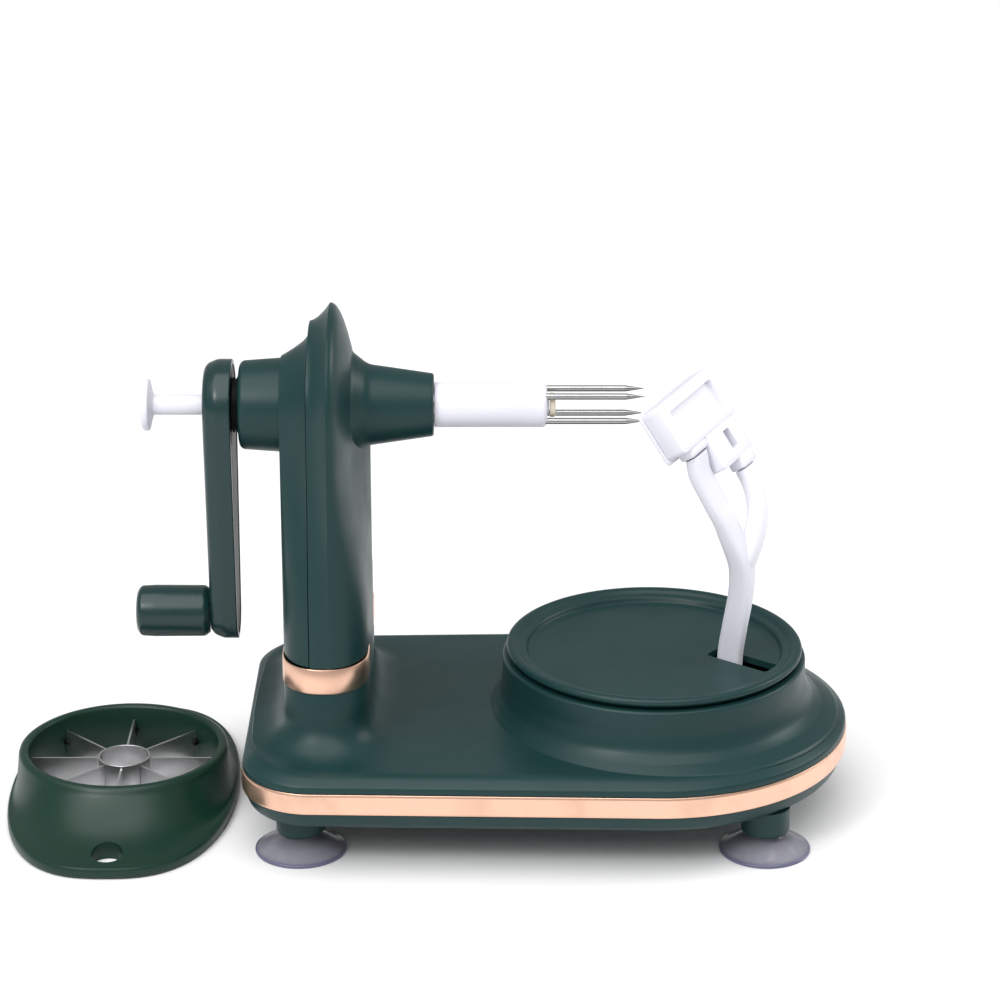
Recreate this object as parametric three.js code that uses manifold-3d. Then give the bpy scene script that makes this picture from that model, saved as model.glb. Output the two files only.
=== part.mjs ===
// Suction-foot apple peeler with a hand crank, and the apple corer and slicer that comes with it.
// Millimetres, +Z up. The model is laid out from the turntable's axis, with +X away from the crank
// and +Y away from the operator, and is moved as a whole at the end to the middle of its footprint.
import * as THREE from 'three';
import { mergeVertices } from 'three/addons/utils/BufferGeometryUtils.js';
import Module from 'manifold-3d';

const wasm = await Module();
wasm.setup();

// ---- clearances ----
const GAP = 0.3; // between pieces that rest against or fit in one another
const RUN = 0.4; // radial, between a piece that turns or slides and its bearing

// ---- base ----
const BASE_END_R = 77.4; // round end, about the turntable's axis
const BASE_LEFT = 162; // turntable axis to the square end
const BASE_LEFT_HALF = 74; // half depth at the square end
const BASE_CORNER_R = 28;
const FLOOR_TO_SHELL = 17.7;
const STRIP_LOW = 26;
const STRIP_HIGH = 34.8;
const STRIP_PROUD = 0.5;
const DECK_Z = 41;
const WALL = 2.4;
const DECK_EDGE = 12; // width of the deck's rounded edge

// ---- feet ----
const FOOT_X_LEFT = -139.7;
const FOOT_X_RIGHT = 42.2;
const FOOT_Y = 50;
const POST_R = 9.5;
const POST_LOW = 8.4;
const CUP_R = 18;
const CUP_RIM = 1.4;

// ---- column ----
const COLUMN_X = -129.7;
const COLUMN_HALF = 17.4; // half width along X
const FOOT_DEPTH = 50; // half depth at the deck
const HEAD_R = 41; // round top, about the spindle
const CREST_DROP = 13; // above the spindle, from where the top thins to a crest
const CREST_HALF = 2.4;
const FILLET = 12; // flare of the column's foot into the deck
const BAND_LOW = 65;
const BAND_HIGH = 75;
const BAND_DEEP = 1.2;
const PARTING_X = COLUMN_X - 6.4; // joint between the crank-side cover and the rest

// ---- spindle ----
const SPINDLE_Z = 167;
const BOSS_END_X = -87.7;
const BOSS_ROOT_R = 15;
const BOSS_END_R = 12;
const HUB_END_X = -162.8;
const HUB_R = 18;
const SHAFT_R = 5.5;
const BUSH_WALL = 1.6;
const BUSH_LIP = 1.2; // flange beyond the bush's wall
const ROD_R = 4;
const SLEEVE_R = 8.8;
const SLEEVE_LEN = 44;
const PRONG_R = 1.25;
const PRONG_PITCH = 5; // from the axis to each prong, along Y and Z
const PRONG_OUT = 37.8; // prongs beyond the sleeve
const PRONG_TIP = 7.3;

// ---- crank ----
const COLLAR_LEN = 2.7;
const ARM_THICK = 11;
const ARM_TOP_R = 17.9;
const ARM_END_R = 11;
const ARM_LEN = 86.5; // centre to centre
const ARM_SOFT = 3.2;
const KNOB_R = 10.3;
const KNOB_LEN = 29;
const DISC_R = 10.2;
const DISC_THICK = 5;
const PUSH = 19.6; // travel of the push rod

// ---- gears ----
const GEAR_MODULE = 1.5;
const DEDENDUM = 1.15; // depth of a tooth below the pitch circle, in modules
const WORM_WALL = 0.975; // from the shaft to the worm's root
const WORM_PITCH_R = SHAFT_R + WORM_WALL + DEDENDUM * GEAR_MODULE;
const WORM_LEN = 18;
const WHEEL_TEETH = 10;
const PINION_TEETH = 12;
const TABLE_TEETH = 64;
const TRAIN_LOW = 27;
const GEAR_FACE = 6;
const LAY_SHAFT_R = 3;
const AXLE_R = 4.9;

// ---- turntable ----
const TABLE_R = 59.2;
const RIM_TOP = 67.4;
const RECESS_R = 50;
const RECESS_Z = 64;
const TABLE_UNDER = 60.5;
const COLLAR_TOP = 62.8; // housing round the turntable
const COLLAR_R = 60.6;
const COLLAR_FOOT_R = 67;
const SLOT_IN = 19;
const SLOT_OUT = 48.7;
const SLOT_WIDE = 8.8;

// ---- peeling arm, laid out along the turntable's radius at ARM_PLAN ----
const ARM_PLAN = THREE.MathUtils.degToRad(-38);
const STEM_OFFSET = 13.6; // the stem stands beside the radius, not on it
const STEM_OUT = 27.4;
const STEM_THICK = 5;
const PIVOT_Z = 50;
const PIN_R = 1.6;
const HEAD_OUT = 12.8;
const HEAD_SIDE = 2.7;
const HEAD_Z = 165.4;
const HEAD_YAW = THREE.MathUtils.degToRad(5.2);
const HEAD_ROLL = THREE.MathUtils.degToRad(8.8);
const HEAD_LEAN = THREE.MathUtils.degToRad(33);
const HEAD_HALF = 20.5; // half length along the blade
const HEAD_TALL = 10.5; // half height across the blade
const HEAD_THICK = 8.7;

// ---- corer and slicer ----
const SLICER_LEN = 154;
const SLICER_WIDE = 92;
const SLICER_BORE = 38;
const SLICER_TALL = 22;
const SLICER_PLATE = 5;
const CORE_R = 10.5;
const BLADE_COUNT = 8;
const BLADE_TALL = 12;
const BLADE_THICK = 0.8;
const SLICER_GAP = 6; // beside the base

// ---- materials ----
const GREEN = 0x1f3d3d;
const WHITE = 0xe6e6ef;

function finish(color, roughness, metalness) {
  return new THREE.MeshStandardMaterial({ color, roughness, metalness });
}
const greenPlastic = () => finish(GREEN, 0.42, 0);
const whitePlastic = () => finish(WHITE, 0.45, 0);
const blackPlastic = () => finish(0x151718, 0.5, 0);
const copperTrim = () => finish(0xd99b7c, 0.22, 1);
const steel = () => finish(0xb9bbbd, 0.28, 1);
const naturalPlastic = () => finish(0xd8d4c8, 0.5, 0);
const slicerPlastic = () => finish(0x14392c, 0.4, 0);
const cupRubber = () => finish(0x8f93a0, 0.3, 0);

// ---- solids ----
// Turns a geometry into a manifold solid, with its faces outward.
function solid(geometry) {
  const bare = geometry.clone();
  bare.deleteAttribute('normal');
  bare.deleteAttribute('uv');
  const merged = mergeVertices(bare, 1e-4);
  const index = merged.index.array;
  const place = merged.attributes.position;
  const corner = (i) => new THREE.Vector3().fromBufferAttribute(place, i);
  let volume = 0;
  const triangles = [];
  for (let i = 0; i < index.length; i += 3) {
    const [a, b, c] = [index[i], index[i + 1], index[i + 2]];
    if (a === b || b === c || c === a) continue;
    volume += corner(a).dot(corner(b).cross(corner(c)));
    triangles.push([a, b, c]);
  }
  const turn = volume < 0 ? ([a, b, c]) => [a, c, b] : (t) => t;
  const triVerts = Uint32Array.from(triangles.flatMap(turn));
  const vertProperties = Float32Array.from(place.array);
  return new wasm.Manifold(new wasm.Mesh({ numProp: 3, vertProperties, triVerts }));
}

// The geometry of a solid.
function shell(body) {
  const mesh = body.getMesh();
  const geometry = new THREE.BufferGeometry();
  geometry.setAttribute('position', new THREE.BufferAttribute(new Float32Array(mesh.vertProperties), 3));
  geometry.setIndex(new THREE.BufferAttribute(new Uint32Array(mesh.triVerts), 1));
  return geometry;
}

const joined = (bodies) => bodies.reduce((a, b) => a.add(b));

// A solid of revolution about Z from [radius, height] points, and the same about X.
function turned(profile, segments = 28) {
  const points = profile.map(([r, z]) => new THREE.Vector2(r, z));
  return new THREE.LatheGeometry(points, segments).rotateX(Math.PI / 2);
}
function turnedX(profile, segments = 20) {
  const points = profile.map(([r, x]) => new THREE.Vector2(r, x));
  return new THREE.LatheGeometry(points, segments).rotateZ(-Math.PI / 2);
}

// A closed tube profile for turned and turnedX: outer and inner radius between two heights.
const tube = (outer, inner, low, high) => [[inner, low], [outer, low], [outer, high], [inner, high], [inner, low]];
const rod = (r, low, high) => [[0, low], [r, low], [r, high], [0, high]];

function bar(x0, x1, y0, y1, z0, z1) {
  const box = new THREE.BoxGeometry(x1 - x0, y1 - y0, z1 - z0);
  return box.translate((x0 + x1) / 2, (y0 + y1) / 2, (z0 + z1) / 2);
}

// A solid skinned over rings of points, all with the same number of points, and closed by flat fans.
function skinned(rings) {
  const count = rings[0].length;
  const points = rings.flat();
  const faces = [];
  for (let r = 0; r + 1 < rings.length; r += 1) {
    for (let i = 0; i < count; i += 1) {
      const a = r * count + i;
      const b = r * count + ((i + 1) % count);
      faces.push(a, b, a + count, b, b + count, a + count);
    }
  }
  for (const [start, way] of [[0, 1], [(rings.length - 1) * count, -1]]) {
    const middle = new THREE.Vector3();
    for (let i = 0; i < count; i += 1) middle.addScaledVector(points[start + i], 1 / count);
    const hub = points.push(middle) - 1;
    for (let i = 0; i < count; i += 1) {
      const next = start + ((i + 1) % count);
      faces.push(...(way > 0 ? [hub, next, start + i] : [hub, start + i, next]));
    }
  }
  const geometry = new THREE.BufferGeometry().setFromPoints(points);
  geometry.setIndex(faces);
  return geometry;
}

// ---- base outline ----
// The base's plan, drawn in by an inset, at one height: a half circle, two sides and two corners.
function baseRing(inset, z) {
  const points = [];
  const arc = (x, y, r, from, to, steps) => {
    for (let i = 0; i <= steps; i += 1) {
      const t = THREE.MathUtils.degToRad(from + ((to - from) * i) / steps);
      points.push(new THREE.Vector3(x + r * Math.cos(t), y + r * Math.sin(t), z));
    }
  };
  const cornerX = -BASE_LEFT + BASE_CORNER_R;
  const cornerY = BASE_LEFT_HALF - BASE_CORNER_R;
  arc(0, 0, BASE_END_R - inset, -90, 90, 20);
  arc(cornerX, cornerY, BASE_CORNER_R - inset, 90, 180, 5);
  arc(cornerX, -cornerY, BASE_CORNER_R - inset, 180, 270, 5);
  return points;
}

// Column section at height z: a long oval with half-round ends, grown by an offset.
function columnDepth(z) {
  const rise = z - SPINDLE_Z;
  if (rise > 0) return Math.sqrt(Math.max(HEAD_R * HEAD_R - rise * rise, 0.5));
  return HEAD_R + ((FOOT_DEPTH - HEAD_R) * -rise) / (SPINDLE_Z - DECK_Z);
}
function columnHalf(z) {
  const start = SPINDLE_Z + CREST_DROP;
  const rise = (z - start) / (SPINDLE_Z + HEAD_R - start);
  if (rise <= 0) return COLUMN_HALF;
  return CREST_HALF + (COLUMN_HALF - CREST_HALF) * (1 - rise) ** 0.8;
}
function columnRing(z, grow) {
  const half = Math.max(columnHalf(z) + grow, 0.6);
  const depth = Math.max(columnDepth(z) + grow, half + 0.2);
  const points = [];
  const steps = 6;
  for (const side of [1, -1]) {
    for (let i = 0; i <= steps; i += 1) {
      const t = (Math.PI * i) / steps;
      const x = COLUMN_X + side * half * Math.cos(t);
      const y = side * (depth - half + half * Math.sin(t));
      points.push(new THREE.Vector3(x, y, z));
    }
  }
  return points;
}
const columnSolid = (heights, grow) => solid(skinned(heights.map((z) => columnRing(z, grow))));

const HEAD_RISES = [0, 7, 13, 18, 23, 28, 32, 35.5, 38.3, 40.2, 40.85];
const headHeights = HEAD_RISES.map((rise) => SPINDLE_Z + rise);

// ---- base pieces ----
const TRAIN_HIGH = TRAIN_LOW + GEAR_FACE;
const gearR = (teeth) => (teeth * GEAR_MODULE) / 2;
const LAY_SHAFT = new THREE.Vector2(COLUMN_X, WORM_PITCH_R + gearR(WHEEL_TEETH));

// Enough teeth for the idler to reach from the pinion to the turntable's gear; it doesn't change the ratio.
const IDLER_SPAN = LAY_SHAFT.length() - gearR(PINION_TEETH) - gearR(TABLE_TEETH);
const IDLER_TEETH = Math.ceil(IDLER_SPAN / GEAR_MODULE);

// The idler meshes with the pinion and the turntable's gear, so its centre is where two circles cross.
function idlerCentre() {
  const reach = gearR(PINION_TEETH) + gearR(IDLER_TEETH);
  const far = gearR(TABLE_TEETH) + gearR(IDLER_TEETH);
  const span = LAY_SHAFT.length();
  const along = (far * far - reach * reach + span * span) / (2 * span);
  const off = Math.sqrt(far * far - along * along);
  const unit = LAY_SHAFT.clone().divideScalar(span);
  return new THREE.Vector2(unit.x * along + unit.y * off, unit.y * along - unit.x * off);
}
const IDLER = idlerCentre();

function baseUpperShell() {
  const outer = solid(skinned([
    baseRing(0, STRIP_HIGH + GAP), baseRing(0, 36.4), baseRing(0.8, 38.2), baseRing(2.8, 39.7),
    baseRing(6, 40.6), baseRing(DECK_EDGE, DECK_Z),
  ]));
  const inner = solid(skinned([
    baseRing(WALL, STRIP_HIGH - 1), baseRing(WALL, 36), baseRing(5, 37.8), baseRing(9, DECK_Z - WALL),
  ]));
  const housing = solid(turned([
    [0, 37], [COLLAR_FOOT_R, 37], [COLLAR_FOOT_R, DECK_Z], [64.4, 42.4], [62.3, 45.5], [61.3, 50],
    [COLLAR_R, 56], [COLLAR_R, COLLAR_TOP - 1.2], [COLLAR_R - 1, COLLAR_TOP], [0, COLLAR_TOP],
  ], 36));
  const well = solid(turned(rod(COLLAR_R - 3.2, 30, 80), 36));
  const flare = [10, 6.2, 3.6, 1.7, 0.5, 0].map((grow, i) => columnRing(DECK_Z - 0.6 + (i * FILLET) / 5, grow * FILLET / 10));
  const foot = solid(skinned([columnRing(37, FILLET), ...flare, columnRing(BAND_LOW - GAP, 0)]));
  const clipped = foot.intersect(solid(skinned([baseRing(1.5, 30), baseRing(1.5, 80)])));
  const hollow = columnSolid([30, BAND_LOW + 5], -WALL);
  return outer.subtract(inner).add(housing).add(clipped).subtract(well).subtract(hollow);
}

function baseLowerShell() {
  const outer = solid(skinned([
    baseRing(7, FLOOR_TO_SHELL), baseRing(4, 18.5), baseRing(1.4, 21.5), baseRing(0, STRIP_LOW - 0.4), baseRing(0, STRIP_LOW),
  ]));
  const rim = solid(skinned([baseRing(2.2, STRIP_LOW - 1), baseRing(2.2, STRIP_HIGH)]));
  const inner = solid(skinned([baseRing(8, FLOOR_TO_SHELL + WALL), baseRing(4.6, 24), baseRing(4.6, STRIP_HIGH + 2)]));
  const posts = footPlaces().map(([x, y]) => solid(turned([
    [0, POST_LOW], [POST_R - 0.8, POST_LOW], [POST_R, POST_LOW + 0.8], [POST_R, FLOOR_TO_SHELL + 1.5],
    [0, FLOOR_TO_SHELL + 1.5],
  ], 20).translate(x, y, 0)));
  const stems = footPlaces().map(([x, y]) => solid(turned(rod(4.3, 0, 14.3), 12).translate(x, y, 0)));
  const seats = [[0, 0, AXLE_R], [IDLER.x, IDLER.y, LAY_SHAFT_R]].map(([x, y, r]) => (
    solid(turned(rod(r + WALL, FLOOR_TO_SHELL + 1, 25.5), 20).translate(x, y, 0))
  ));
  const sockets = [[0, 0, AXLE_R], [IDLER.x, IDLER.y, LAY_SHAFT_R]].map(([x, y, r]) => (
    solid(turned(rod(r + GAP, FLOOR_TO_SHELL + WALL, 30), 20).translate(x, y, 0))
  ));
  const screws = screwPlaces().map(([x, y]) => solid(turned(rod(2.2, 10, 24), 12).translate(x, y, 0)));
  const body = joined([outer, rim, ...posts]).subtract(inner).add(joined(seats));
  return body.subtract(joined([...sockets, ...stems, ...screws]));
}

function footPlaces() {
  return [FOOT_X_LEFT, FOOT_X_RIGHT].flatMap((x) => [[x, -FOOT_Y], [x, FOOT_Y]]);
}
function screwPlaces() {
  return [FOOT_X_LEFT + 30, FOOT_X_RIGHT - 24].flatMap((x) => [[x, -FOOT_Y], [x, FOOT_Y]]);
}

function trimStrip() {
  const outer = solid(skinned([
    baseRing(0, STRIP_LOW + GAP), baseRing(-STRIP_PROUD, STRIP_LOW + 1), baseRing(-STRIP_PROUD, STRIP_HIGH - 0.7),
    baseRing(0, STRIP_HIGH),
  ]));
  return outer.subtract(solid(skinned([baseRing(1.9, 20), baseRing(1.9, 40)])));
}

// A suction cup with a barbed stem that is pushed up into its post.
function suctionCup() {
  return turned([
    [0, 3.2], [6, 2.9], [12, 1.8], [15.8, 0], [CUP_R - 0.6, 0], [CUP_R, 0.5], [CUP_R - 0.2, CUP_RIM], [14.6, 3.1],
    [10.5, 5.2], [6.8, POST_LOW - GAP], [3.9, POST_LOW - GAP], [3.9, 13.6], [0, 13.9],
  ], 16);
}

function baseScrew() {
  return turned([[0, 15.4], [3.6, 15.4], [3.6, 17], [3, FLOOR_TO_SHELL - GAP], [1.8, FLOOR_TO_SHELL - GAP], [1.8, 23], [0, 23.6]], 8);
}

// ---- column pieces ----
const BUSH_R = SHAFT_R + BUSH_WALL;
const BUSH_FLANGE_R = BUSH_R + BUSH_LIP;

function columnWhole() {
  const outer = columnSolid([BAND_HIGH + GAP, 100, 130, 150, ...headHeights], 0);
  const boss = solid(turnedX([
    [0, COLUMN_X], [BOSS_ROOT_R + 5, COLUMN_X + 12], [BOSS_ROOT_R + 3.4, COLUMN_X + COLUMN_HALF],
    [BOSS_ROOT_R + 1, COLUMN_X + COLUMN_HALF + 1.2], [BOSS_ROOT_R, COLUMN_X + COLUMN_HALF + 3],
    [BOSS_END_R + 0.5, BOSS_END_X - 0.6], [BOSS_END_R, BOSS_END_X], [0, BOSS_END_X],
  ], 28).translate(0, 0, SPINDLE_Z));
  const hub = solid(turnedX([
    [0, HUB_END_X], [HUB_R - 2, HUB_END_X], [HUB_R - 0.6, HUB_END_X + 0.6], [HUB_R, HUB_END_X + 2.2],
    [HUB_R + 0.5, COLUMN_X - COLUMN_HALF], [HUB_R + 0.5, COLUMN_X - 6], [0, COLUMN_X],
  ], 28).translate(0, 0, SPINDLE_Z));
  const low = columnSolid([60, 100, 130, 150, SPINDLE_Z, ...headHeights.slice(1, 8)], -WALL);
  const bossBore = solid(turnedX(rod(BUSH_FLANGE_R + GAP, COLUMN_X, BOSS_END_X - 5)).translate(0, 0, SPINDLE_Z));
  const hubBore = solid(turnedX(rod(HUB_R - WALL, HUB_END_X + 5, COLUMN_X)).translate(0, 0, SPINDLE_Z));
  const shaftBore = solid(turnedX(rod(BUSH_R + GAP, HUB_END_X - 40, BOSS_END_X + 30)).translate(0, 0, SPINDLE_Z));
  return outer.add(boss).add(hub).subtract(low).subtract(bossBore).subtract(hubBore).subtract(shaftBore);
}

function bandPiece() {
  const outer = columnSolid([BAND_LOW, BAND_LOW + 0.6, BAND_HIGH - 0.6, BAND_HIGH], 0.35);
  return outer.subtract(columnSolid([BAND_LOW - 5, BAND_HIGH + 5], -BAND_DEEP));
}

// A plastic bush with a flange on its inner end, in the boss's or the hub's end wall.
function spindleBush(endX, inwards) {
  const bore = SHAFT_R + RUN / 2;
  const [start, lip, end] = [GAP, 5 + GAP, 6.5].map((d) => endX + inwards * d);
  const profile = [
    [bore, start], [BUSH_R, start], [BUSH_R, lip], [BUSH_FLANGE_R, lip], [BUSH_FLANGE_R, end], [bore, end], [bore, start],
  ];
  return turnedX(profile, 20).translate(0, 0, SPINDLE_Z);
}

// ---- spindle and crank pieces ----
const CRANK_X = HUB_END_X - COLLAR_LEN - ARM_THICK; // outer face of the crank arm
const SLEEVE_X = BOSS_END_X + 0.4;
const SLEEVE_END = SLEEVE_X + SLEEVE_LEN;

function spindleShaft() {
  return turnedX(tube(SHAFT_R, ROD_R + RUN, CRANK_X + 1, SLEEVE_END - 14), 24).translate(0, 0, SPINDLE_Z);
}

function sleeve() {
  const outer = solid(turnedX([
    [ROD_R + RUN, SLEEVE_X + GAP], [SLEEVE_R, SLEEVE_X + GAP], [SLEEVE_R, SLEEVE_END - 2], [SLEEVE_R - 0.6, SLEEVE_END - 0.6],
    [SLEEVE_R - 1.8, SLEEVE_END], [ROD_R + RUN, SLEEVE_END], [ROD_R + RUN, SLEEVE_X + GAP],
  ], 24).translate(0, 0, SPINDLE_Z));
  const socket = solid(turnedX(rod(SHAFT_R + GAP, SLEEVE_X - 5, SLEEVE_END - 14 + GAP), 24).translate(0, 0, SPINDLE_Z));
  const holes = prongPlaces().map(([y, z]) => (
    solid(turnedX(rod(PRONG_R + 0.15, SLEEVE_END - 11, SLEEVE_END + 3), 8).translate(0, y, z))
  ));
  return outer.subtract(socket).subtract(joined(holes));
}

function prongPlaces() {
  return [[-1, 1], [1, 1], [-1, -1], [1, -1]].map(([y, z]) => [y * PRONG_PITCH, SPINDLE_Z + z * PRONG_PITCH]);
}
function prong() {
  const end = SLEEVE_END + PRONG_OUT;
  return turnedX([[0, SLEEVE_END - 10.6], [PRONG_R, SLEEVE_END - 10.6], [PRONG_R, end - PRONG_TIP], [0.15, end], [0, end]], 8);
}

function pushRod() {
  const inner = CRANK_X - PUSH;
  const x = inner - DISC_THICK;
  return turnedX([
    [0, x], [DISC_R - 1.6, x], [DISC_R - 0.4, x + 0.6], [DISC_R, x + 2], [DISC_R - 0.5, x + 4], [DISC_R - 2, inner],
    [ROD_R, inner], [ROD_R, SLEEVE_END + 0.8], [0, SLEEVE_END + 0.8],
  ], 24).translate(0, 0, SPINDLE_Z);
}
// The ejector's nose sits on the rod's end, between the prongs.
function ejectorNose() {
  const x = SLEEVE_END + 0.8 + GAP;
  const r = Math.SQRT2 * PRONG_PITCH - PRONG_R - 1;
  return turnedX([[0, x], [r, x], [r, x + 1.2], [r - 0.7, x + 2.2], [0, x + 2.2]], 16).translate(0, 0, SPINDLE_Z);
}

// The crank arm's outline, inset, in its own plane: two round ends joined by tangents.
function armShape(inset) {
  const top = ARM_TOP_R - inset;
  const end = ARM_END_R - inset;
  const lean = Math.asin((ARM_TOP_R - ARM_END_R) / ARM_LEN);
  const shape = new THREE.Shape();
  shape.absarc(0, 0, top, -lean, Math.PI + lean, false);
  shape.absarc(0, -ARM_LEN, end, Math.PI + lean, 2 * Math.PI - lean, false);
  return shape;
}
// Rings of the arm's outline: x is along the spindle, and the outline stands in the YZ plane.
function armRing(inset, x) {
  const points = armShape(inset).getPoints(7);
  const flat = points.slice(0, points[0].distanceTo(points.at(-1)) < 1e-6 ? -1 : undefined);
  return flat.map((p) => new THREE.Vector3(x, p.x, SPINDLE_Z + p.y));
}
function crankArm() {
  const inner = HUB_END_X - COLLAR_LEN;
  const outer = solid(skinned([
    armRing(ARM_SOFT, CRANK_X), armRing(1.2, CRANK_X + 0.7), armRing(0.3, CRANK_X + 1.8), armRing(0, CRANK_X + ARM_SOFT),
    armRing(0, inner - 0.8), armRing(0.6, inner),
  ]));
  const recess = solid(skinned([armRing(2.2, inner - 4), armRing(2.2, inner + 3)]));
  const rodHole = solid(turnedX(rod(ROD_R + RUN, CRANK_X - 5, inner + 5), 32).translate(0, 0, SPINDLE_Z));
  const shaftHole = solid(turnedX(rod(SHAFT_R + GAP, CRANK_X + 1 - GAP, inner + 5), 32).translate(0, 0, SPINDLE_Z));
  const pinHole = solid(turnedX(rod(PIN_R + 0.9 + GAP, CRANK_X - 5, inner + 5), 24).translate(0, 0, SPINDLE_Z - ARM_LEN));
  return outer.subtract(recess).subtract(rodHole).subtract(shaftHole).subtract(pinHole);
}
function crankCover() {
  const inner = HUB_END_X - COLLAR_LEN;
  const plate = solid(skinned([armRing(2.2 + GAP, inner - 1.8), armRing(2.2 + GAP, inner - GAP)]));
  const hole = solid(turnedX(rod(SHAFT_R + GAP, inner - 9, inner + 5), 32).translate(0, 0, SPINDLE_Z));
  return plate.subtract(hole);
}
function crankCollar() {
  const low = HUB_END_X - COLLAR_LEN + 0.1;
  return turnedX(tube(10.9, SHAFT_R + GAP, low, HUB_END_X - GAP), 24).translate(0, 0, SPINDLE_Z);
}

const KNOB_Z = SPINDLE_Z - ARM_LEN;
function knobPin() {
  const head = CRANK_X - KNOB_LEN - 0.4;
  const end = HUB_END_X - COLLAR_LEN - 4 + 0.8;
  const r = PIN_R + 0.9;
  return turnedX([[0, head + 2], [4.4, head + 2], [4.4, head + 3.6], [r, head + 3.6], [r, end], [0, end]], 12).translate(0, 0, KNOB_Z);
}
function knob() {
  const low = CRANK_X - GAP - KNOB_LEN;
  const high = CRANK_X - GAP;
  const bore = PIN_R + 0.9 + RUN;
  return turnedX([
    [4.9, low + 0.3], [KNOB_R - 2.8, low], [KNOB_R - 1, low + 0.7], [KNOB_R - 0.1, low + 2.2], [KNOB_R, low + 5],
    [KNOB_R, high - 3], [KNOB_R - 0.6, high - 0.9], [KNOB_R - 1.8, high], [bore, high], [bore, low + 4.4], [4.9, low + 4.4],
    [4.9, low + 0.3],
  ], 18).translate(0, 0, KNOB_Z);
}

// ---- gears ----
// A stub-toothed spur gear with a bore; first is the angle of a tooth's middle.
function spurGear(teeth, first, bore, face, tall = 0.75) {
  const r = gearR(teeth);
  const outer = r + tall * GEAR_MODULE;
  const root = r - DEDENDUM * GEAR_MODULE;
  const pitch = (2 * Math.PI) / teeth;
  const shape = new THREE.Shape();
  const spots = [[root, -0.27], [outer, -0.11], [outer, 0.11], [root, 0.27]];
  for (let i = 0; i < teeth; i += 1) {
    for (const [radius, part] of spots) {
      const t = first + pitch * (i + part);
      const go = i === 0 && part === spots[0][1] ? 'moveTo' : 'lineTo';
      shape[go](radius * Math.cos(t), radius * Math.sin(t));
    }
  }
  shape.closePath();
  const hole = new THREE.Path();
  hole.absarc(0, 0, bore, 0, 2 * Math.PI, true);
  shape.holes.push(hole);
  return new THREE.ExtrudeGeometry(shape, { depth: face, bevelEnabled: false, curveSegments: 5 });
}

// Angle of a tooth in the follower, so that a gap faces the driver's tooth.
function meshedTooth(driverFirst, driverTeeth, followerTeeth, from, to) {
  const way = Math.atan2(to.y - from.y, to.x - from.x);
  const part = ((way - driverFirst) * driverTeeth) / (2 * Math.PI);
  return way + Math.PI - ((0.5 - part) * 2 * Math.PI) / followerTeeth;
}

const AXIS = new THREE.Vector2(0, 0);
const PINION_TOOTH = 0;
const IDLER_TOOTH = meshedTooth(PINION_TOOTH, PINION_TEETH, IDLER_TEETH, LAY_SHAFT, IDLER);
const TABLE_TOOTH = meshedTooth(IDLER_TOOTH, IDLER_TEETH, TABLE_TEETH, IDLER, AXIS);

// Right-handed single-start worm: a core tube and a thread swept along a helix that ends inside it.
function worm() {
  const lead = Math.PI * GEAR_MODULE;
  const root = WORM_PITCH_R - DEDENDUM * GEAR_MODULE;
  const outer = WORM_PITCH_R + 0.7 * GEAR_MODULE;
  const core = solid(turnedX(tube(root, SHAFT_R + GAP, -WORM_LEN / 2, WORM_LEN / 2), 20));
  const turns = WORM_LEN / lead - 1;
  const steps = Math.round(turns * 12);
  const rings = [];
  for (let i = 0; i <= steps; i += 1) {
    const turn = (i / steps - 0.5) * turns;
    const t = turn * 2 * Math.PI;
    const spots = [[root - 0.6, -0.85], [outer, -0.45], [outer, 0.45], [root - 0.6, 0.85]];
    rings.push(spots.map(([r, x]) => new THREE.Vector3(turn * lead + x, r * Math.cos(t), r * Math.sin(t))));
  }
  return core.add(solid(skinned(rings)));
}

// ---- turntable pieces ----
function turntableDisc() {
  const disc = solid(turned([
    [AXLE_R + RUN, TRAIN_HIGH + GAP], [11, TRAIN_HIGH + GAP], [11, TABLE_UNDER - 3], [14, TABLE_UNDER], [52, TABLE_UNDER],
    [52, 58], [54.8, 58], [56.2, 59], [56.2, 64.2], [58.4, 64.2], [TABLE_R - 0.2, 64.8], [TABLE_R, 66],
    [TABLE_R - 0.7, 67.1], [TABLE_R - 2, RIM_TOP], [55.4, RIM_TOP], [54, 66.9], [53.4, 65.9], [52.6, 65.2],
    [RECESS_R - 0.6, RECESS_Z], [0, RECESS_Z], [0, 52], [AXLE_R + RUN, 52],
    [AXLE_R + RUN, TRAIN_HIGH + GAP],
  ], 36));
  const near = STEM_OFFSET - SLOT_WIDE / 2;
  const far = STEM_OFFSET + SLOT_WIDE / 2;
  const slot = bar(SLOT_IN, SLOT_OUT - 1.5, near, far, 40, 80);
  const face = STEM_THICK / 2 + GAP + 0.2;
  const ears = [-1, 1].map((side) => {
    const inner = STEM_OFFSET + side * face;
    const outer = STEM_OFFSET + side * (face + 4.4);
    const [low, high] = [Math.min(inner, outer), Math.max(inner, outer)];
    return solid(bar(STEM_OUT - 7.5, STEM_OUT + 7.5, low, high, PIVOT_Z - 5.5, TABLE_UNDER + 0.6));
  });
  const gap = bar(SLOT_IN, SLOT_OUT - 1.5, STEM_OFFSET - face, STEM_OFFSET + face, 40, 80);
  const pin = pivotPinGeometry(PIN_R + GAP, 12);
  const put = (geometry) => solid(geometry.rotateZ(ARM_PLAN));
  const turnedEars = ears.map((ear) => ear.subtract(solid(gap)).subtract(solid(pin)));
  const placed = turnedEars.map((ear) => solid(shell(ear).rotateZ(ARM_PLAN)));
  return disc.subtract(put(slot)).add(joined(placed)).subtract(put(gap));
}

function pivotPinGeometry(r, overrun) {
  const face = STEM_THICK / 2 + GAP + 0.2;
  const half = face + 4.2;
  const pin = new THREE.CylinderGeometry(r, r, 2 * half + 2 * overrun, 20);
  return pin.translate(STEM_OUT, STEM_OFFSET, 0).translate(0, 0, PIVOT_Z);
}

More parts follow.
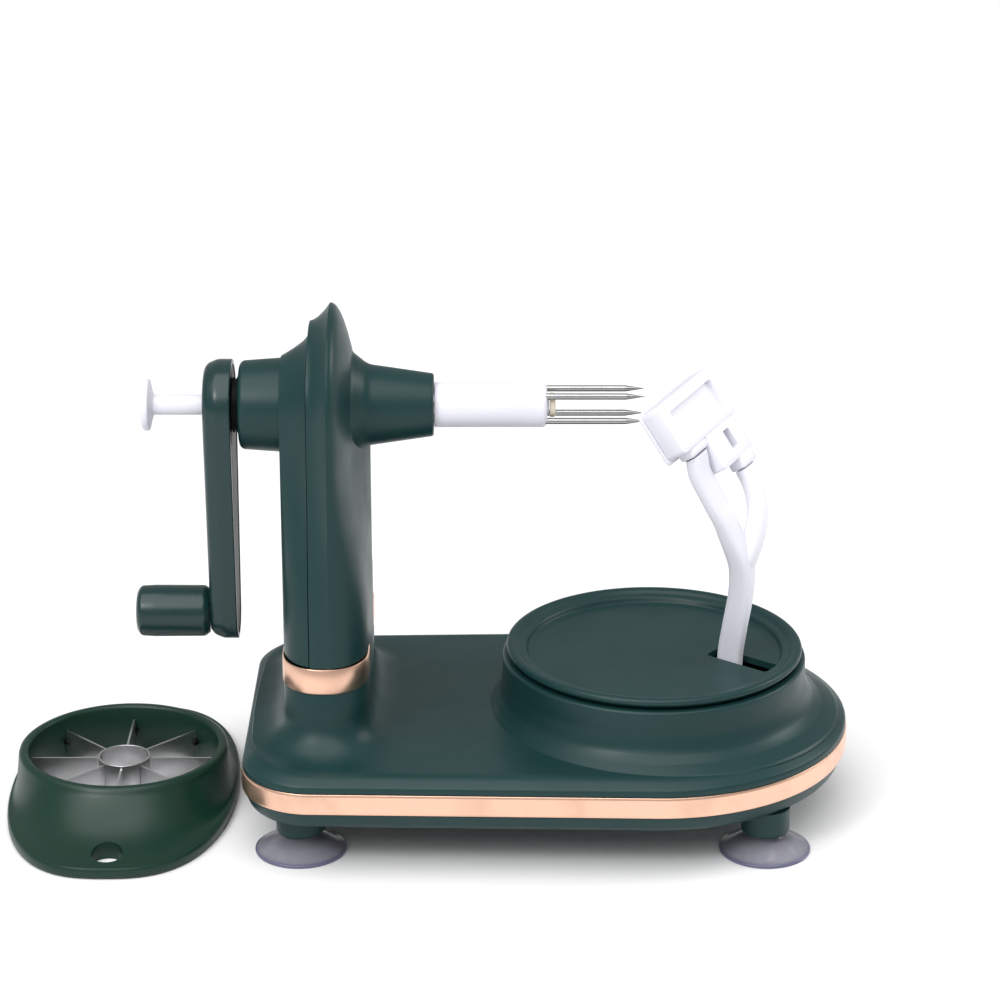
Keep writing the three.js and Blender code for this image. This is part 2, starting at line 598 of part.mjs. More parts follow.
// The pivot pin carries the return spring on its far end.
function pivotPin() {
  const half = STEM_THICK / 2 + GAP + 4.4;
  const low = STEM_OFFSET - half;
  const high = STEM_OFFSET + half + 8.6;
  const pin = new THREE.CylinderGeometry(PIN_R, PIN_R, high - low, 20);
  return pin.translate(STEM_OUT, (low + high) / 2, PIVOT_Z);
}
class Coil extends THREE.Curve {
  getPoint(t) {
    const turns = 4;
    const angle = t * turns * 2 * Math.PI;
    const from = STEM_OFFSET + STEM_THICK / 2 + 6.6;
    const r = PIN_R + 1.5;
    return new THREE.Vector3(STEM_OUT + r * Math.cos(angle), from + t * turns * 1.5, PIVOT_Z + r * Math.sin(angle));
  }
}
function armSpring() {
  const wire = new THREE.Shape();
  wire.absarc(0, 0, 0.45, 0, 2 * Math.PI, false);
  return new THREE.ExtrudeGeometry(wire, { steps: 36, curveSegments: 2, extrudePath: new Coil(), bevelEnabled: false });
}

// ---- peeling arm pieces, in the arm's frame: x outward, y across, z up ----
const headB = new THREE.Vector3(
  -Math.sin(HEAD_YAW) * Math.cos(HEAD_ROLL), Math.cos(HEAD_YAW) * Math.cos(HEAD_ROLL), Math.sin(HEAD_ROLL),
);
const lean = new THREE.Vector3(Math.sin(HEAD_LEAN), 0, -Math.cos(HEAD_LEAN));
const headH = lean.clone().addScaledVector(headB, -lean.dot(headB)).normalize();
const headT = headB.clone().cross(headH);
const headC = new THREE.Vector3(HEAD_OUT, HEAD_SIDE, HEAD_Z);
const headAt = (b, h) => headC.clone().addScaledVector(headB, b).addScaledVector(headH, h);

const EXT_NEAR = -4.2; // the carrier's lower part, along the blade
const EXT_FAR = 19;
const EXT_LOW = 25.8; // and down from the head's middle, near side and far side
const EXT_FAR_LOW = 30.2;

// A rounded oblong section of the arm: half sizes across (u) and through it (v).
function armSection(centre, along, across, u, v) {
  const side = across.clone().addScaledVector(along, -across.dot(along)).normalize();
  const through = along.clone().cross(side);
  const points = [];
  for (let i = 0; i < 12; i += 1) {
    const t = (2 * Math.PI * i) / 12;
    const soft = (value) => Math.sign(value) * Math.abs(value) ** 0.55;
    points.push(centre.clone().addScaledVector(side, u * soft(Math.cos(t))).addScaledVector(through, v * soft(Math.sin(t))));
  }
  return points;
}
function limb(stations) {
  const rings = stations.map(([centre, u, v], i) => {
    const before = stations[Math.max(i - 1, 0)][0];
    const after = stations[Math.min(i + 1, stations.length - 1)][0];
    const along = after.clone().sub(before).normalize();
    if (i === 0) along.copy(headH);
    const blend = Math.min(Math.max((135 - centre.z) / 40, 0), 1);
    const across = headB.clone().lerp(new THREE.Vector3(0, 1, 0), blend).normalize();
    return armSection(centre, along, across, u, v);
  });
  return solid(skinned(rings));
}
function peelingArm() {
  const at = (x, y, z) => new THREE.Vector3(x, y, z);
  const half = STEM_THICK / 2;
  const near = limb([
    [headAt(-9.75, HEAD_TALL + 3.9), 5, 3.4], [at(22.9, -3.7, 144.6), 4.9, 3.4], [at(25.7, -1, 137.1), 5.2, 3.4],
    [at(28, 0.8, 131.2), 4.9, 3.5], [at(30.2, 3.2, 125.1), 4.6, 3.8], [at(31.5, 6, 118.3), 4.6, 4.2],
    [at(33.3, 9.6, 109.5), 4.4, 5], [at(33.6, 11.5, 102), 3.9, 5], [at(32.4, 12.6, 91), 3.2, 5], [at(29.4, 13.4, 76), 2.7, 5.2],
    [at(STEM_OUT + 0.2, STEM_OFFSET, 64), half, 5.4], [at(STEM_OUT, STEM_OFFSET, PIVOT_Z), half, 5.4],
    [at(STEM_OUT, STEM_OFFSET, PIVOT_Z - 5.2), half, 4.6],
  ]);
  const far = limb([
    [headAt(11.4, EXT_FAR_LOW + 0.4), 4.1, 3.2], [at(32.4, 18.8, 136), 3.9, 3.3], [at(35.5, 17.6, 129.5), 3.8, 3.5],
    [at(37.1, 15.8, 123.5), 3.8, 3.7], [at(37.3, 13.6, 117), 3.9, 4], [at(36, 11.6, 110), 3.6, 4.2], [at(34.9, 11.4, 104), 2.6, 3.6],
  ]);
  const hole = new THREE.CylinderGeometry(PIN_R + GAP, PIN_R + GAP, 20, 20).translate(STEM_OUT, STEM_OFFSET, PIVOT_Z);
  return near.add(far).subtract(solid(hole));
}

// The head's own frame: x along the blade, y down the head, z towards the apple.
const THICK_BACK = -HEAD_THICK / 2;
const THICK_FACE = HEAD_THICK / 2;
const OPEN_NEAR = -15;
const OPEN_FAR = 16.5;
const OPEN_HALF = 6.2;
const BLADE_ARC_R = 5.4;
const TRUNNION_R = 1.1;
function bladeCarrier() {
  const shape = new THREE.Shape();
  shape.moveTo(-HEAD_HALF + 1.5, -HEAD_TALL);
  shape.lineTo(HEAD_HALF - 1.5, -HEAD_TALL);
  shape.quadraticCurveTo(HEAD_HALF, -HEAD_TALL, HEAD_HALF, -HEAD_TALL + 1.5);
  shape.lineTo(HEAD_HALF, HEAD_TALL - 1);
  shape.lineTo(EXT_FAR, HEAD_TALL + 2.5);
  shape.lineTo(EXT_FAR - 2, EXT_FAR_LOW);
  shape.lineTo(7.2, EXT_FAR_LOW);
  shape.lineTo(5.6, EXT_LOW);
  shape.lineTo(EXT_NEAR, EXT_LOW);
  shape.lineTo(EXT_NEAR, HEAD_TALL + 3.6);
  shape.lineTo(-15, HEAD_TALL + 3.6);
  shape.lineTo(-HEAD_HALF, HEAD_TALL);
  shape.lineTo(-HEAD_HALF, -HEAD_TALL + 1.5);
  shape.quadraticCurveTo(-HEAD_HALF, -HEAD_TALL, -HEAD_HALF + 1.5, -HEAD_TALL);
  const body = solid(new THREE.ExtrudeGeometry(shape, { depth: HEAD_THICK, bevelEnabled: false }).translate(0, 0, THICK_BACK));
  const open = solid(bar(OPEN_NEAR, OPEN_FAR, -OPEN_HALF, OPEN_HALF, -20, 20));
  const window = solid(bar(6.6, 10.8, 13.2, 21.2, -20, 20));
  const ends = solid(rodAlongHead(TRUNNION_R + GAP, OPEN_NEAR - 2.6, OPEN_FAR + 2.6));
  return body.subtract(open).subtract(window).subtract(ends);
}
const rodAlongHead = (r, low, high) => turnedX(rod(r, low, high), 16);

// Curved steel blade with its middle slot and a trunnion at each end.
function bladeSteel() {
  const arc = THREE.MathUtils.degToRad(52);
  const shape = new THREE.Shape();
  shape.absarc(0, 0, BLADE_ARC_R, Math.PI / 2 - arc, Math.PI / 2 + arc, false);
  shape.absarc(0, 0, BLADE_ARC_R - 0.9, Math.PI / 2 + arc, Math.PI / 2 - arc, true);
  const length = OPEN_FAR - OPEN_NEAR - 1;
  const strip = new THREE.ExtrudeGeometry(shape, { depth: length, bevelEnabled: false, curveSegments: 10 });
  const spin = new THREE.Matrix4().makeBasis(
    new THREE.Vector3(0, 1, 0), new THREE.Vector3(0, 0, 1), new THREE.Vector3(1, 0, 0),
  );
  const low = OPEN_NEAR + 0.5;
  const high = OPEN_FAR - 0.5;
  const body = solid(strip.applyMatrix4(spin).translate(low, 0, 0));
  const slot = solid(bar(low + 4, high - 4, -0.2, 2, 0, 20));
  const tabs = [[low, low + 1.2], [high - 1.2, high]].map(([a, b]) => solid(bar(a, b, -1.8, 1.8, -1.6, BLADE_ARC_R - 0.5)));
  const pins = [[OPEN_NEAR - 2.2, low + 0.5], [high - 0.5, OPEN_FAR + 2.2]].map(([a, b]) => solid(rodAlongHead(TRUNNION_R, a, b)));
  return body.subtract(slot).add(joined([...tabs, ...pins]));
}

// Thin guard plate round the apple side of the head, open over the blade.
function bladeGuard() {
  const low = THICK_FACE + GAP;
  const edge = 0.8;
  const plate = solid(bar(-HEAD_HALF - edge, HEAD_HALF, -HEAD_TALL - edge, HEAD_TALL + 1.5, low, low + 1.2));
  return plate.subtract(solid(bar(OPEN_NEAR + 0.4, OPEN_FAR - 0.4, -OPEN_HALF + 0.4, OPEN_HALF - 0.4, 0, 20)));
}

// ---- corer and slicer, in its own frame: x along its length ----
// The plate's outline, a long oval, at one height.
function slicerRing(inset, z) {
  const points = [];
  const half = SLICER_LEN / 2 - inset;
  const wide = SLICER_WIDE / 2 - inset;
  for (let i = 0; i < 32; i += 1) {
    const t = (2 * Math.PI * i) / 32;
    const soft = (value, power) => Math.sign(value) * Math.abs(value) ** power;
    points.push(new THREE.Vector3(half * soft(Math.cos(t), 0.92), wide * soft(Math.sin(t), 0.72), z));
  }
  return points;
}
function slicerFrame() {
  const plate = solid(skinned([
    slicerRing(1.2, 0), slicerRing(0, 1.4), slicerRing(0.2, SLICER_PLATE - 1), slicerRing(1.8, SLICER_PLATE),
  ]));
  const flare = solid(turned([
    [0, 1], [60, 1], [60, SLICER_PLATE - 0.6], [54, SLICER_PLATE + 1], [49, SLICER_PLATE + 4], [45.4, SLICER_PLATE + 9.5],
    [43.6, SLICER_TALL - 2], [42.4, SLICER_TALL - 0.4], [41, SLICER_TALL], [0, SLICER_TALL],
  ], 32));
  const within = solid(skinned([slicerRing(1.2, -1), slicerRing(1.2, SLICER_TALL + 5)]));
  const bore = solid(turned(rod(SLICER_BORE, -5, SLICER_TALL + 5), 32));
  const hole = solid(turned(rod(6.2, -5, 30), 16).translate(-65, 0, 0));
  return plate.add(flare.intersect(within)).subtract(bore).subtract(hole);
}
const SLICER_BLADE_LOW = 4;
const slicerCore = () => turned(tube(CORE_R, CORE_R - 0.7, SLICER_BLADE_LOW - 1.5, SLICER_BLADE_LOW + BLADE_TALL + 1), 24);
function slicerBlade() {
  const half = BLADE_THICK / 2;
  return bar(CORE_R + GAP, SLICER_BORE - GAP - 0.3, -half, half, SLICER_BLADE_LOW, SLICER_BLADE_LOW + BLADE_TALL);
}

// ---- assembly ----
const machine = new THREE.Group();

function add(parent, name, geometry, material) {
  const mesh = new THREE.Mesh(geometry, material);
  mesh.name = name;
  parent.add(mesh);
  return mesh;
}

function addBase() {
  add(machine, 'base_upper_shell', shell(baseUpperShell()), greenPlastic());
  add(machine, 'base_lower_shell', shell(baseLowerShell()), greenPlastic());
  add(machine, 'base_trim_strip', shell(trimStrip()), copperTrim());
  footPlaces().forEach(([x, y], i) => {
    add(machine, `suction_cup_${i + 1}`, suctionCup(), cupRubber()).position.set(x, y, 0);
  });
  screwPlaces().forEach(([x, y], i) => {
    add(machine, `base_screw_${i + 1}`, baseScrew(), steel()).position.set(x, y, 0);
  });
}

function addColumn() {
  const whole = columnWhole();
  const crankSide = solid(bar(-400, PARTING_X - GAP / 2, -90, 90, 0, 300));
  const spindleSide = solid(bar(PARTING_X + GAP / 2, 100, -90, 90, 0, 300));
  add(machine, 'column_front_shell', shell(whole.intersect(spindleSide)), greenPlastic());
  add(machine, 'column_crank_cover', shell(whole.intersect(crankSide)), greenPlastic());
  add(machine, 'column_trim_band', shell(bandPiece()), copperTrim());
  add(machine, 'spindle_bush_front', shell(solid(spindleBush(BOSS_END_X, -1))), naturalPlastic());
  add(machine, 'spindle_bush_rear', spindleBush(HUB_END_X, 1), naturalPlastic());
}

function addSpindle() {
  add(machine, 'spindle_shaft', spindleShaft(), steel());
  add(machine, 'spindle_sleeve', shell(sleeve()), whitePlastic());
  prongPlaces().forEach(([y, z], i) => {
    add(machine, `prong_${i + 1}`, prong(), steel()).position.set(0, y, z);
  });
  add(machine, 'push_rod', pushRod(), whitePlastic());
  add(machine, 'ejector_nose', ejectorNose(), naturalPlastic());
}

function addCrank() {
  add(machine, 'crank_arm', shell(crankArm()), greenPlastic());
  add(machine, 'crank_inner_cover', shell(crankCover()), blackPlastic());
  add(machine, 'crank_collar', crankCollar(), blackPlastic());
  add(machine, 'knob_pin', knobPin(), steel());
  add(machine, 'crank_knob', knob(), greenPlastic());
}

function addGears() {
  add(machine, 'worm', shell(worm()), whitePlastic()).position.set(COLUMN_X, 0, SPINDLE_Z);
  const wheelFirst = -Math.PI / 2 + Math.PI / WHEEL_TEETH;
  const wheel = add(machine, 'worm_wheel', spurGear(WHEEL_TEETH, wheelFirst, LAY_SHAFT_R + GAP, 5, 0.7), whitePlastic());
  wheel.position.set(LAY_SHAFT.x, LAY_SHAFT.y, SPINDLE_Z - 2.5);
  const lay = add(machine, 'vertical_shaft', turned(rod(LAY_SHAFT_R, 21, SPINDLE_Z + 8), 16), steel());
  lay.position.set(LAY_SHAFT.x, LAY_SHAFT.y, 0);
  for (const [name, z] of [['shaft_bush_lower', FLOOR_TO_SHELL + WALL + GAP], ['shaft_bush_upper', SPINDLE_Z - 14]]) {
    const bush = add(machine, name, turned(tube(LAY_SHAFT_R + 3, LAY_SHAFT_R + RUN, 0, 5), 16), naturalPlastic());
    bush.position.set(LAY_SHAFT.x, LAY_SHAFT.y, z);
  }
  const pinion = add(machine, 'drive_pinion', spurGear(PINION_TEETH, PINION_TOOTH, LAY_SHAFT_R + GAP, GEAR_FACE), whitePlastic());
  pinion.position.set(LAY_SHAFT.x, LAY_SHAFT.y, TRAIN_LOW);
  const idler = add(machine, 'idler_gear', spurGear(IDLER_TEETH, IDLER_TOOTH, LAY_SHAFT_R + RUN, GEAR_FACE), whitePlastic());
  idler.position.set(IDLER.x, IDLER.y, TRAIN_LOW);
  const idlerAxle = add(machine, 'idler_axle', turned(rod(LAY_SHAFT_R, 20.6, TRAIN_HIGH + 1.5), 16), steel());
  idlerAxle.position.set(IDLER.x, IDLER.y, 0);
  const table = add(machine, 'turntable_gear', spurGear(TABLE_TEETH, TABLE_TOOTH, AXLE_R + RUN, GEAR_FACE), whitePlastic());
  table.position.z = TRAIN_LOW;
  add(machine, 'turntable_axle', turned(rod(AXLE_R, 20.6, 51), 20), steel());
}

function addTurntable() {
  add(machine, 'turntable_disc', shell(turntableDisc()), greenPlastic());
  const radius = new THREE.Group();
  radius.rotation.z = ARM_PLAN;
  machine.add(radius);
  add(radius, 'arm_pivot_pin', pivotPin(), steel());
  add(radius, 'arm_spring', armSpring(), steel());
  add(radius, 'peeling_arm', shell(peelingArm()), whitePlastic());
  const head = new THREE.Group();
  head.applyMatrix4(new THREE.Matrix4().makeBasis(headB, headH, headT).setPosition(headC));
  radius.add(head);
  add(head, 'blade_carrier', shell(bladeCarrier()), whitePlastic());
  add(head, 'peeling_blade', shell(bladeSteel()), steel());
  add(head, 'blade_guard', shell(bladeGuard()), whitePlastic());
}

const SLICER_X = -BASE_LEFT - SLICER_GAP - SLICER_WIDE / 2;
function addSlicer() {
  const slicer = new THREE.Group();
  slicer.position.x = SLICER_X;
  slicer.rotation.z = Math.PI / 2;
  machine.add(slicer);
  add(slicer, 'slicer_frame', shell(slicerFrame()), slicerPlastic());
  add(slicer, 'slicer_core_ring', slicerCore(), steel());
  for (let i = 0; i < BLADE_COUNT; i += 1) {
    const blade = add(slicer, `slicer_blade_${i + 1}`, slicerBlade(), steel());
    blade.rotation.z = (i * 2 * Math.PI) / BLADE_COUNT;
  }
}

addBase();
addColumn();
addSpindle();
addCrank();
addGears();
addTurntable();
addSlicer();

const leftMost = SLICER_X - SLICER_WIDE / 2;
machine.position.x = -(leftMost + BASE_END_R + STRIP_PROUD) / 2;
machine.updateMatrixWorld(true);

const part = new THREE.Group();
part.add(machine);

export default part;
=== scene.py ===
"""Looks of the hand-cranked apple peeler on its suction feet, with its ring corer and slicer.

Every shape is worked out in millimetres and put into its mesh in metres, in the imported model's frame.
"""

import bmesh
import bpy
import numpy as np
from bpy.props import FloatProperty, FloatVectorProperty, PointerProperty
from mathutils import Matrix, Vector


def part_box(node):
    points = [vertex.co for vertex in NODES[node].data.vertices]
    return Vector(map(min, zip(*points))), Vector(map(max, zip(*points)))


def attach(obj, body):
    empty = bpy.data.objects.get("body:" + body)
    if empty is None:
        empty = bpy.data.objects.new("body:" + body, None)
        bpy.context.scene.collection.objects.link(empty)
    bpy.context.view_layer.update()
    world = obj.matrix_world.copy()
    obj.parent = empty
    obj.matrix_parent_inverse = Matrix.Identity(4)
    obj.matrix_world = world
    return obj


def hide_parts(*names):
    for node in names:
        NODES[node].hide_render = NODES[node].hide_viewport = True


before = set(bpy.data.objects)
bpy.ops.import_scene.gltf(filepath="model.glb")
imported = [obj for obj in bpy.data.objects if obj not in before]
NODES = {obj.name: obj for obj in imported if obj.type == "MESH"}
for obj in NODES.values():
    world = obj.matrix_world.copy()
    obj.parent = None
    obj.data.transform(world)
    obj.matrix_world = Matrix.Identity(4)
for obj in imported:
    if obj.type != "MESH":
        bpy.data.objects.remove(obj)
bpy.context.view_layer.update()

bl_info = {
    "name": "Crank apple peeler",
    "version": (1, 0, 0),
    "blender": (4, 5, 0),
    "location": "View3D > Sidebar > Peeler",
    "description": "Builds the looks of a hand-cranked apple peeler and its slicer",
    "category": "Add Mesh",
}

MM = 0.001


def box_mm(node):
    """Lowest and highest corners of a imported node, in millimetres."""
    low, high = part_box(node)
    return np.array(low) / MM, np.array(high) / MM


def middle_mm(node):
    """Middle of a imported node's box, in millimetres."""
    low, high = box_mm(node)
    return (low + high) / 2


TABLE_X = middle_mm("turntable_axle")[0]
COLUMN_X = middle_mm("column_trim_band")[0]
SPINDLE_Z = middle_mm("spindle_shaft")[2]
BASE_LOW, BASE_HIGH = box_mm("base_upper_shell")
STRIP_LOW, STRIP_HIGH = box_mm("base_trim_strip")
SHELL_LOW, SHELL_HIGH = box_mm("base_lower_shell")
BAND_LOW, BAND_HIGH = box_mm("column_trim_band")
COVER_LOW, COVER_HIGH = box_mm("column_crank_cover")
SLEEVE_LOW, SLEEVE_HIGH = box_mm("spindle_sleeve")
ARM_LOW, ARM_HIGH = box_mm("crank_arm")
KNOB_LOW, KNOB_HIGH = box_mm("crank_knob")
DISC_LOW, DISC_HIGH = box_mm("turntable_disc")
SLICER_LOW, SLICER_HIGH = box_mm("slicer_frame")


# ---------------------------------------------------------------- sizes and colours
def size(name, value, about):
    """A length in millimetres that a user may change."""
    return FloatProperty(name=name, description=about, default=value, subtype="NONE", precision=2)


def colour(name, value, about):
    """A linear colour that a user may change."""
    return FloatVectorProperty(name=name, description=about, default=value, subtype="COLOR", size=3, min=0,
        max=1)


class PeelerSizes(bpy.types.PropertyGroup):
    """Lengths in millimetres that aren't read from the frame."""

    deck: size("Deck height", 41.0, "Height of the base's flat deck above the worktop, in mm")
    wall: size("Wall", 2.4, "Wall of the moulded shells, in mm")
    corner: size("Corner radius", 28.0, "Radius of the base's two square-end corners in plan, in mm")
    collar: size("Housing radius", 60.6, "Radius of the housing round the turntable, in mm")
    foot_depth: size("Column foot", 50.0, "Half depth of the column where it meets the deck, in mm")
    head_radius: size("Column top", 39.8, "Radius of the column's round top about the spindle, in mm")
    fillet: size("Foot fillet", 12.8, "Flare of the column's foot into the deck, in mm")
    parting: size("Parting", 6.4, "From the column's middle to the crank-side cover's joint, in mm")
    bore: size("Slicer bore", 38.0, "Radius of the slicer's ring, in mm")


class PeelerColours(bpy.types.PropertyGroup):
    """Colours of the moulded plastics and metals."""

    green: colour("Green", (0.0075, 0.034, 0.0345), "Dark teal green of the housings")
    slicer: colour("Slicer green", (0.0045, 0.029, 0.018), "Dark green of the slicer")
    white: colour("White", (0.76, 0.76, 0.83), "Cool white of the spindle and arm")
    copper: colour("Copper", (0.90, 0.57, 0.42), "Rose copper of the trim")
    steel: colour("Steel", (0.60, 0.60, 0.61), "Steel of the prongs and blades")
    black: colour("Black", (0.004, 0.0045, 0.005), "Black of the collar and inner cover")
    cream: colour("Cream", (0.66, 0.60, 0.48), "Natural plastic of bushes and ejector")
    vinyl: colour("Vinyl", (0.20, 0.20, 0.235), "Grey vinyl of the suction cups")


def sizes():
    return bpy.context.scene.peeler_sizes


def colours():
    return bpy.context.scene.peeler_colours


# ---------------------------------------------------------------- surfaces
def rounded(points, arcs=6):
    """A polyline of (x, y[, radius]) with each named corner replaced by an arc.

    The arc touches both sides at radius * tan of half the turn from the corner, limited to 45 % of each side.
    """
    points = [tuple(p) if len(p) == 3 else (*p, 0.0) for p in points]
    out = [points[0][:2]]
    for before, here, after in zip(points, points[1:], points[2:]):
        a, p, b = (np.array(q[:2], float) for q in (before, here, after))
        u, v = a - p, b - p
        lu, lv = np.linalg.norm(u), np.linalg.norm(v)
        u, v = u / lu, v / lv
        bend = np.arccos(np.clip(u @ v, -1, 1))
        if here[2] <= 0 or bend > np.pi - 0.02 or bend < 0.02:
            out.append(tuple(p))
            continue
        reach = min(here[2] / np.tan(bend / 2), 0.45 * lu, 0.45 * lv)
        radius = reach * np.tan(bend / 2)
        centre = p + (u + v) / np.linalg.norm(u + v) * radius / np.sin(bend / 2)
        start, end = p + u * reach - centre, p + v * reach - centre
        swing = np.pi - bend
        turn = np.sign(start[0] * end[1] - start[1] * end[0]) * swing
        for t in np.linspace(0, turn, arcs + 1):
            c, s = np.cos(t), np.sin(t)
            out.append(tuple(centre + (c * start[0] - s * start[1], s * start[0] + c * start[1])))
    out.append(points[-1][:2])
    return np.array(out)


class Skin:
    """Gathers closed surfaces for one piece, in millimetres."""

    def __init__(self):
        self.points, self.faces, self.count = [], [], 0

    def grid(self, rows, closed=False):
        """A surface through rows of points, each a closed ring; its ends are joined, or closed by fans."""
        rows = np.asarray(rows, float)
        m, n, _ = rows.shape
        index = np.arange(m * n).reshape(m, n)
        across = np.roll(index, -1, axis=1)
        lower, upper = (index, np.roll(index, -1, axis=0)) if closed else (index[:-1], index[1:])
        lower_on, upper_on = (across, np.roll(across, -1, axis=0)) if closed else (across[:-1], across[1:])
        quads = np.stack([lower, lower_on, upper_on, upper], -1).reshape(-1, 4)
        points = rows.reshape(-1, 3)
        faces = [tuple(q) for q in quads.tolist()]
        if not closed:
            for row, ring in ((0, index[0][::-1]), (-1, index[-1])):
                centre = len(points)
                points = np.vstack([points, rows[row].mean(axis=0)])
                on = np.roll(ring, -1)
                faces += [(int(a), int(b), centre) for a, b in zip(ring, on)]
        self._add(points, faces)
        return self

    def hood(self, rows):
        """A surface whose rows are open, closed below by a fan round its first and last row."""
        m, n, _ = rows.shape
        index = np.arange(m * n).reshape(m, n)
        quads = np.stack([index[:-1, :-1], index[:-1, 1:], index[1:, 1:], index[1:, :-1]], -1).reshape(-1, 4)
        ring = np.concatenate([index[0][::-1], index[-1]])
        points = np.vstack([rows.reshape(-1, 3), rows.reshape(-1, 3)[ring].mean(axis=0)])
        fan = [(int(a), int(b), m * n) for a, b in zip(ring, np.roll(ring, -1))]
        self._add(points, [tuple(q) for q in quads.tolist()] + fan)
        return self

    def _add(self, points, faces):
        """Keeps a surface, turned so that its signed volume is above 0 and its faces point out."""
        tri = np.array([(f[0], f[i], f[i + 1]) for f in faces for i in range(1, len(f) - 1)])
        a, b, c = (points[tri[:, i]] - points.mean(axis=0) for i in range(3))
        if np.einsum("ij,ij->", a, np.cross(b, c)) < 0:
            faces = [f[::-1] for f in faces]
        self.points.append(points)
        self.faces += [tuple(i + self.count for i in f) for f in faces]
        self.count += len(points)

    def turned(self, profile, centre, axis="Z", steps=96, closed=False):
        """A profile of (radius, height) points turned about an axis through centre."""
        profile = np.asarray(profile, float)
        t = np.linspace(0, 2 * np.pi, steps, endpoint=False)
        r, h = profile[:, 0][:, None], profile[:, 1][:, None]
        one, two, along = r * np.cos(t), r * np.sin(t), h + 0 * t
        parts = {"Z": (one, two, along), "X": (along, one, two)}[axis]
        return self.grid(np.stack(parts, -1) + np.asarray(centre, float), closed)

    def place(self, matrix):
        """Moves everything gathered so far by a 4 by 4 matrix."""
        matrix = np.asarray(matrix, float)
        self.points = [p @ matrix[:3, :3].T + matrix[:3, 3] for p in self.points]
        return self

    def make(self, name, material, body, replaced=(), slot=None, angle=38):
        """Puts the surfaces into one object in metres, merged, smooth but for edges sharper than angle."""
        mesh = bpy.data.meshes.new(name)
        mesh.from_pydata((np.vstack(self.points) * MM).tolist(), [], self.faces)
        bm = bmesh.new()
        bm.from_mesh(mesh)
        bmesh.ops.remove_doubles(bm, verts=bm.verts, dist=2e-6)
        bmesh.ops.dissolve_degenerate(bm, edges=bm.edges, dist=1e-7)
        bm.to_mesh(mesh)
        bm.free()
        mesh.validate()
        obj = bpy.data.objects.new(name, mesh)
        bpy.context.scene.collection.objects.link(obj)
        settle(obj, material, body, replaced, angle)
        return obj


def settle(obj, material, body, replaced=(), angle=38):
    """Shades an object, gives it its material, ties it to its body, and hides the nodes it replaces."""
    obj.data.polygons.foreach_set("use_smooth", [True] * len(obj.data.polygons))
    obj.data.set_sharp_from_angle(angle=np.radians(angle))
    obj.data.materials.clear()
    obj.data.materials.append(material)
    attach(obj, body)
    if replaced:
        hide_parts(*replaced)


def carve(obj, cutters):
    """Cuts each cutter out of an object by an exact boolean, and removes the cutters."""
    for cutter in cutters:
        cut = obj.modifiers.new("cut", "BOOLEAN")
        cut.operation, cut.solver, cut.object = "DIFFERENCE", "EXACT", cutter
    graph = bpy.context.evaluated_depsgraph_get()
    mesh = bpy.data.meshes.new_from_object(obj.evaluated_get(graph))
    obj.modifiers.clear()
    obj.data = mesh
    for cutter in cutters:
        bpy.data.objects.remove(cutter)


def cutter_from(skin):
    """A plain object from a skin, for carve."""
    mesh = bpy.data.meshes.new("cutter")
    mesh.from_pydata((np.vstack(skin.points) * MM).tolist(), [], skin.faces)
    bm = bmesh.new()
    bm.from_mesh(mesh)
    bmesh.ops.remove_doubles(bm, verts=bm.verts, dist=2e-6)
    bm.to_mesh(mesh)
    bm.free()
    obj = bpy.data.objects.new("cutter", mesh)
    bpy.context.scene.collection.objects.link(obj)
    return obj


def rounded_rectangle(x0, x1, y0, y1, radius, arcs=6):
    """Ring of (x, y) round a rectangle with quarter-circle corners, the same number of points for any size."""
    r = max(min(radius, (x1 - x0) / 2 - 1e-3, (y1 - y0) / 2 - 1e-3), 1e-3)
    centres = [(x1 - r, y1 - r, 0), (x0 + r, y1 - r, 90), (x0 + r, y0 + r, 180), (x1 - r, y0 + r, 270)]
    t = np.radians(np.linspace(0, 90, arcs + 1))
    return np.vstack([
        np.stack([cx + r * np.cos(t + np.radians(a)), cy + r * np.sin(t + np.radians(a))], -1) for cx, cy,
        a in centres
    ])


# ---------------------------------------------------------------- shader expressions
class Value:
    """A socket whose arithmetic adds Math nodes."""

    def __init__(self, shader, socket):
        self.shader, self.socket = shader, socket

    def _math(self, operation, a, b=0.0):
        return self.shader.node("ShaderNodeMath", {"operation": operation}, {0: a, 1: b})

    def __add__(self, other):
        return self._math("ADD", self, other)

    def __sub__(self, other):
        return self._math("SUBTRACT", self, other)

    def __rsub__(self, other):
        return self._math("SUBTRACT", other, self)

    def __mul__(self, other):
        return self._math("MULTIPLY", self, other)

    def __truediv__(self, other):
        return self._math("DIVIDE", self, other)

    def __pow__(self, other):
        return self._math("POWER", self, other)

    __radd__ = __add__
    __rmul__ = __mul__


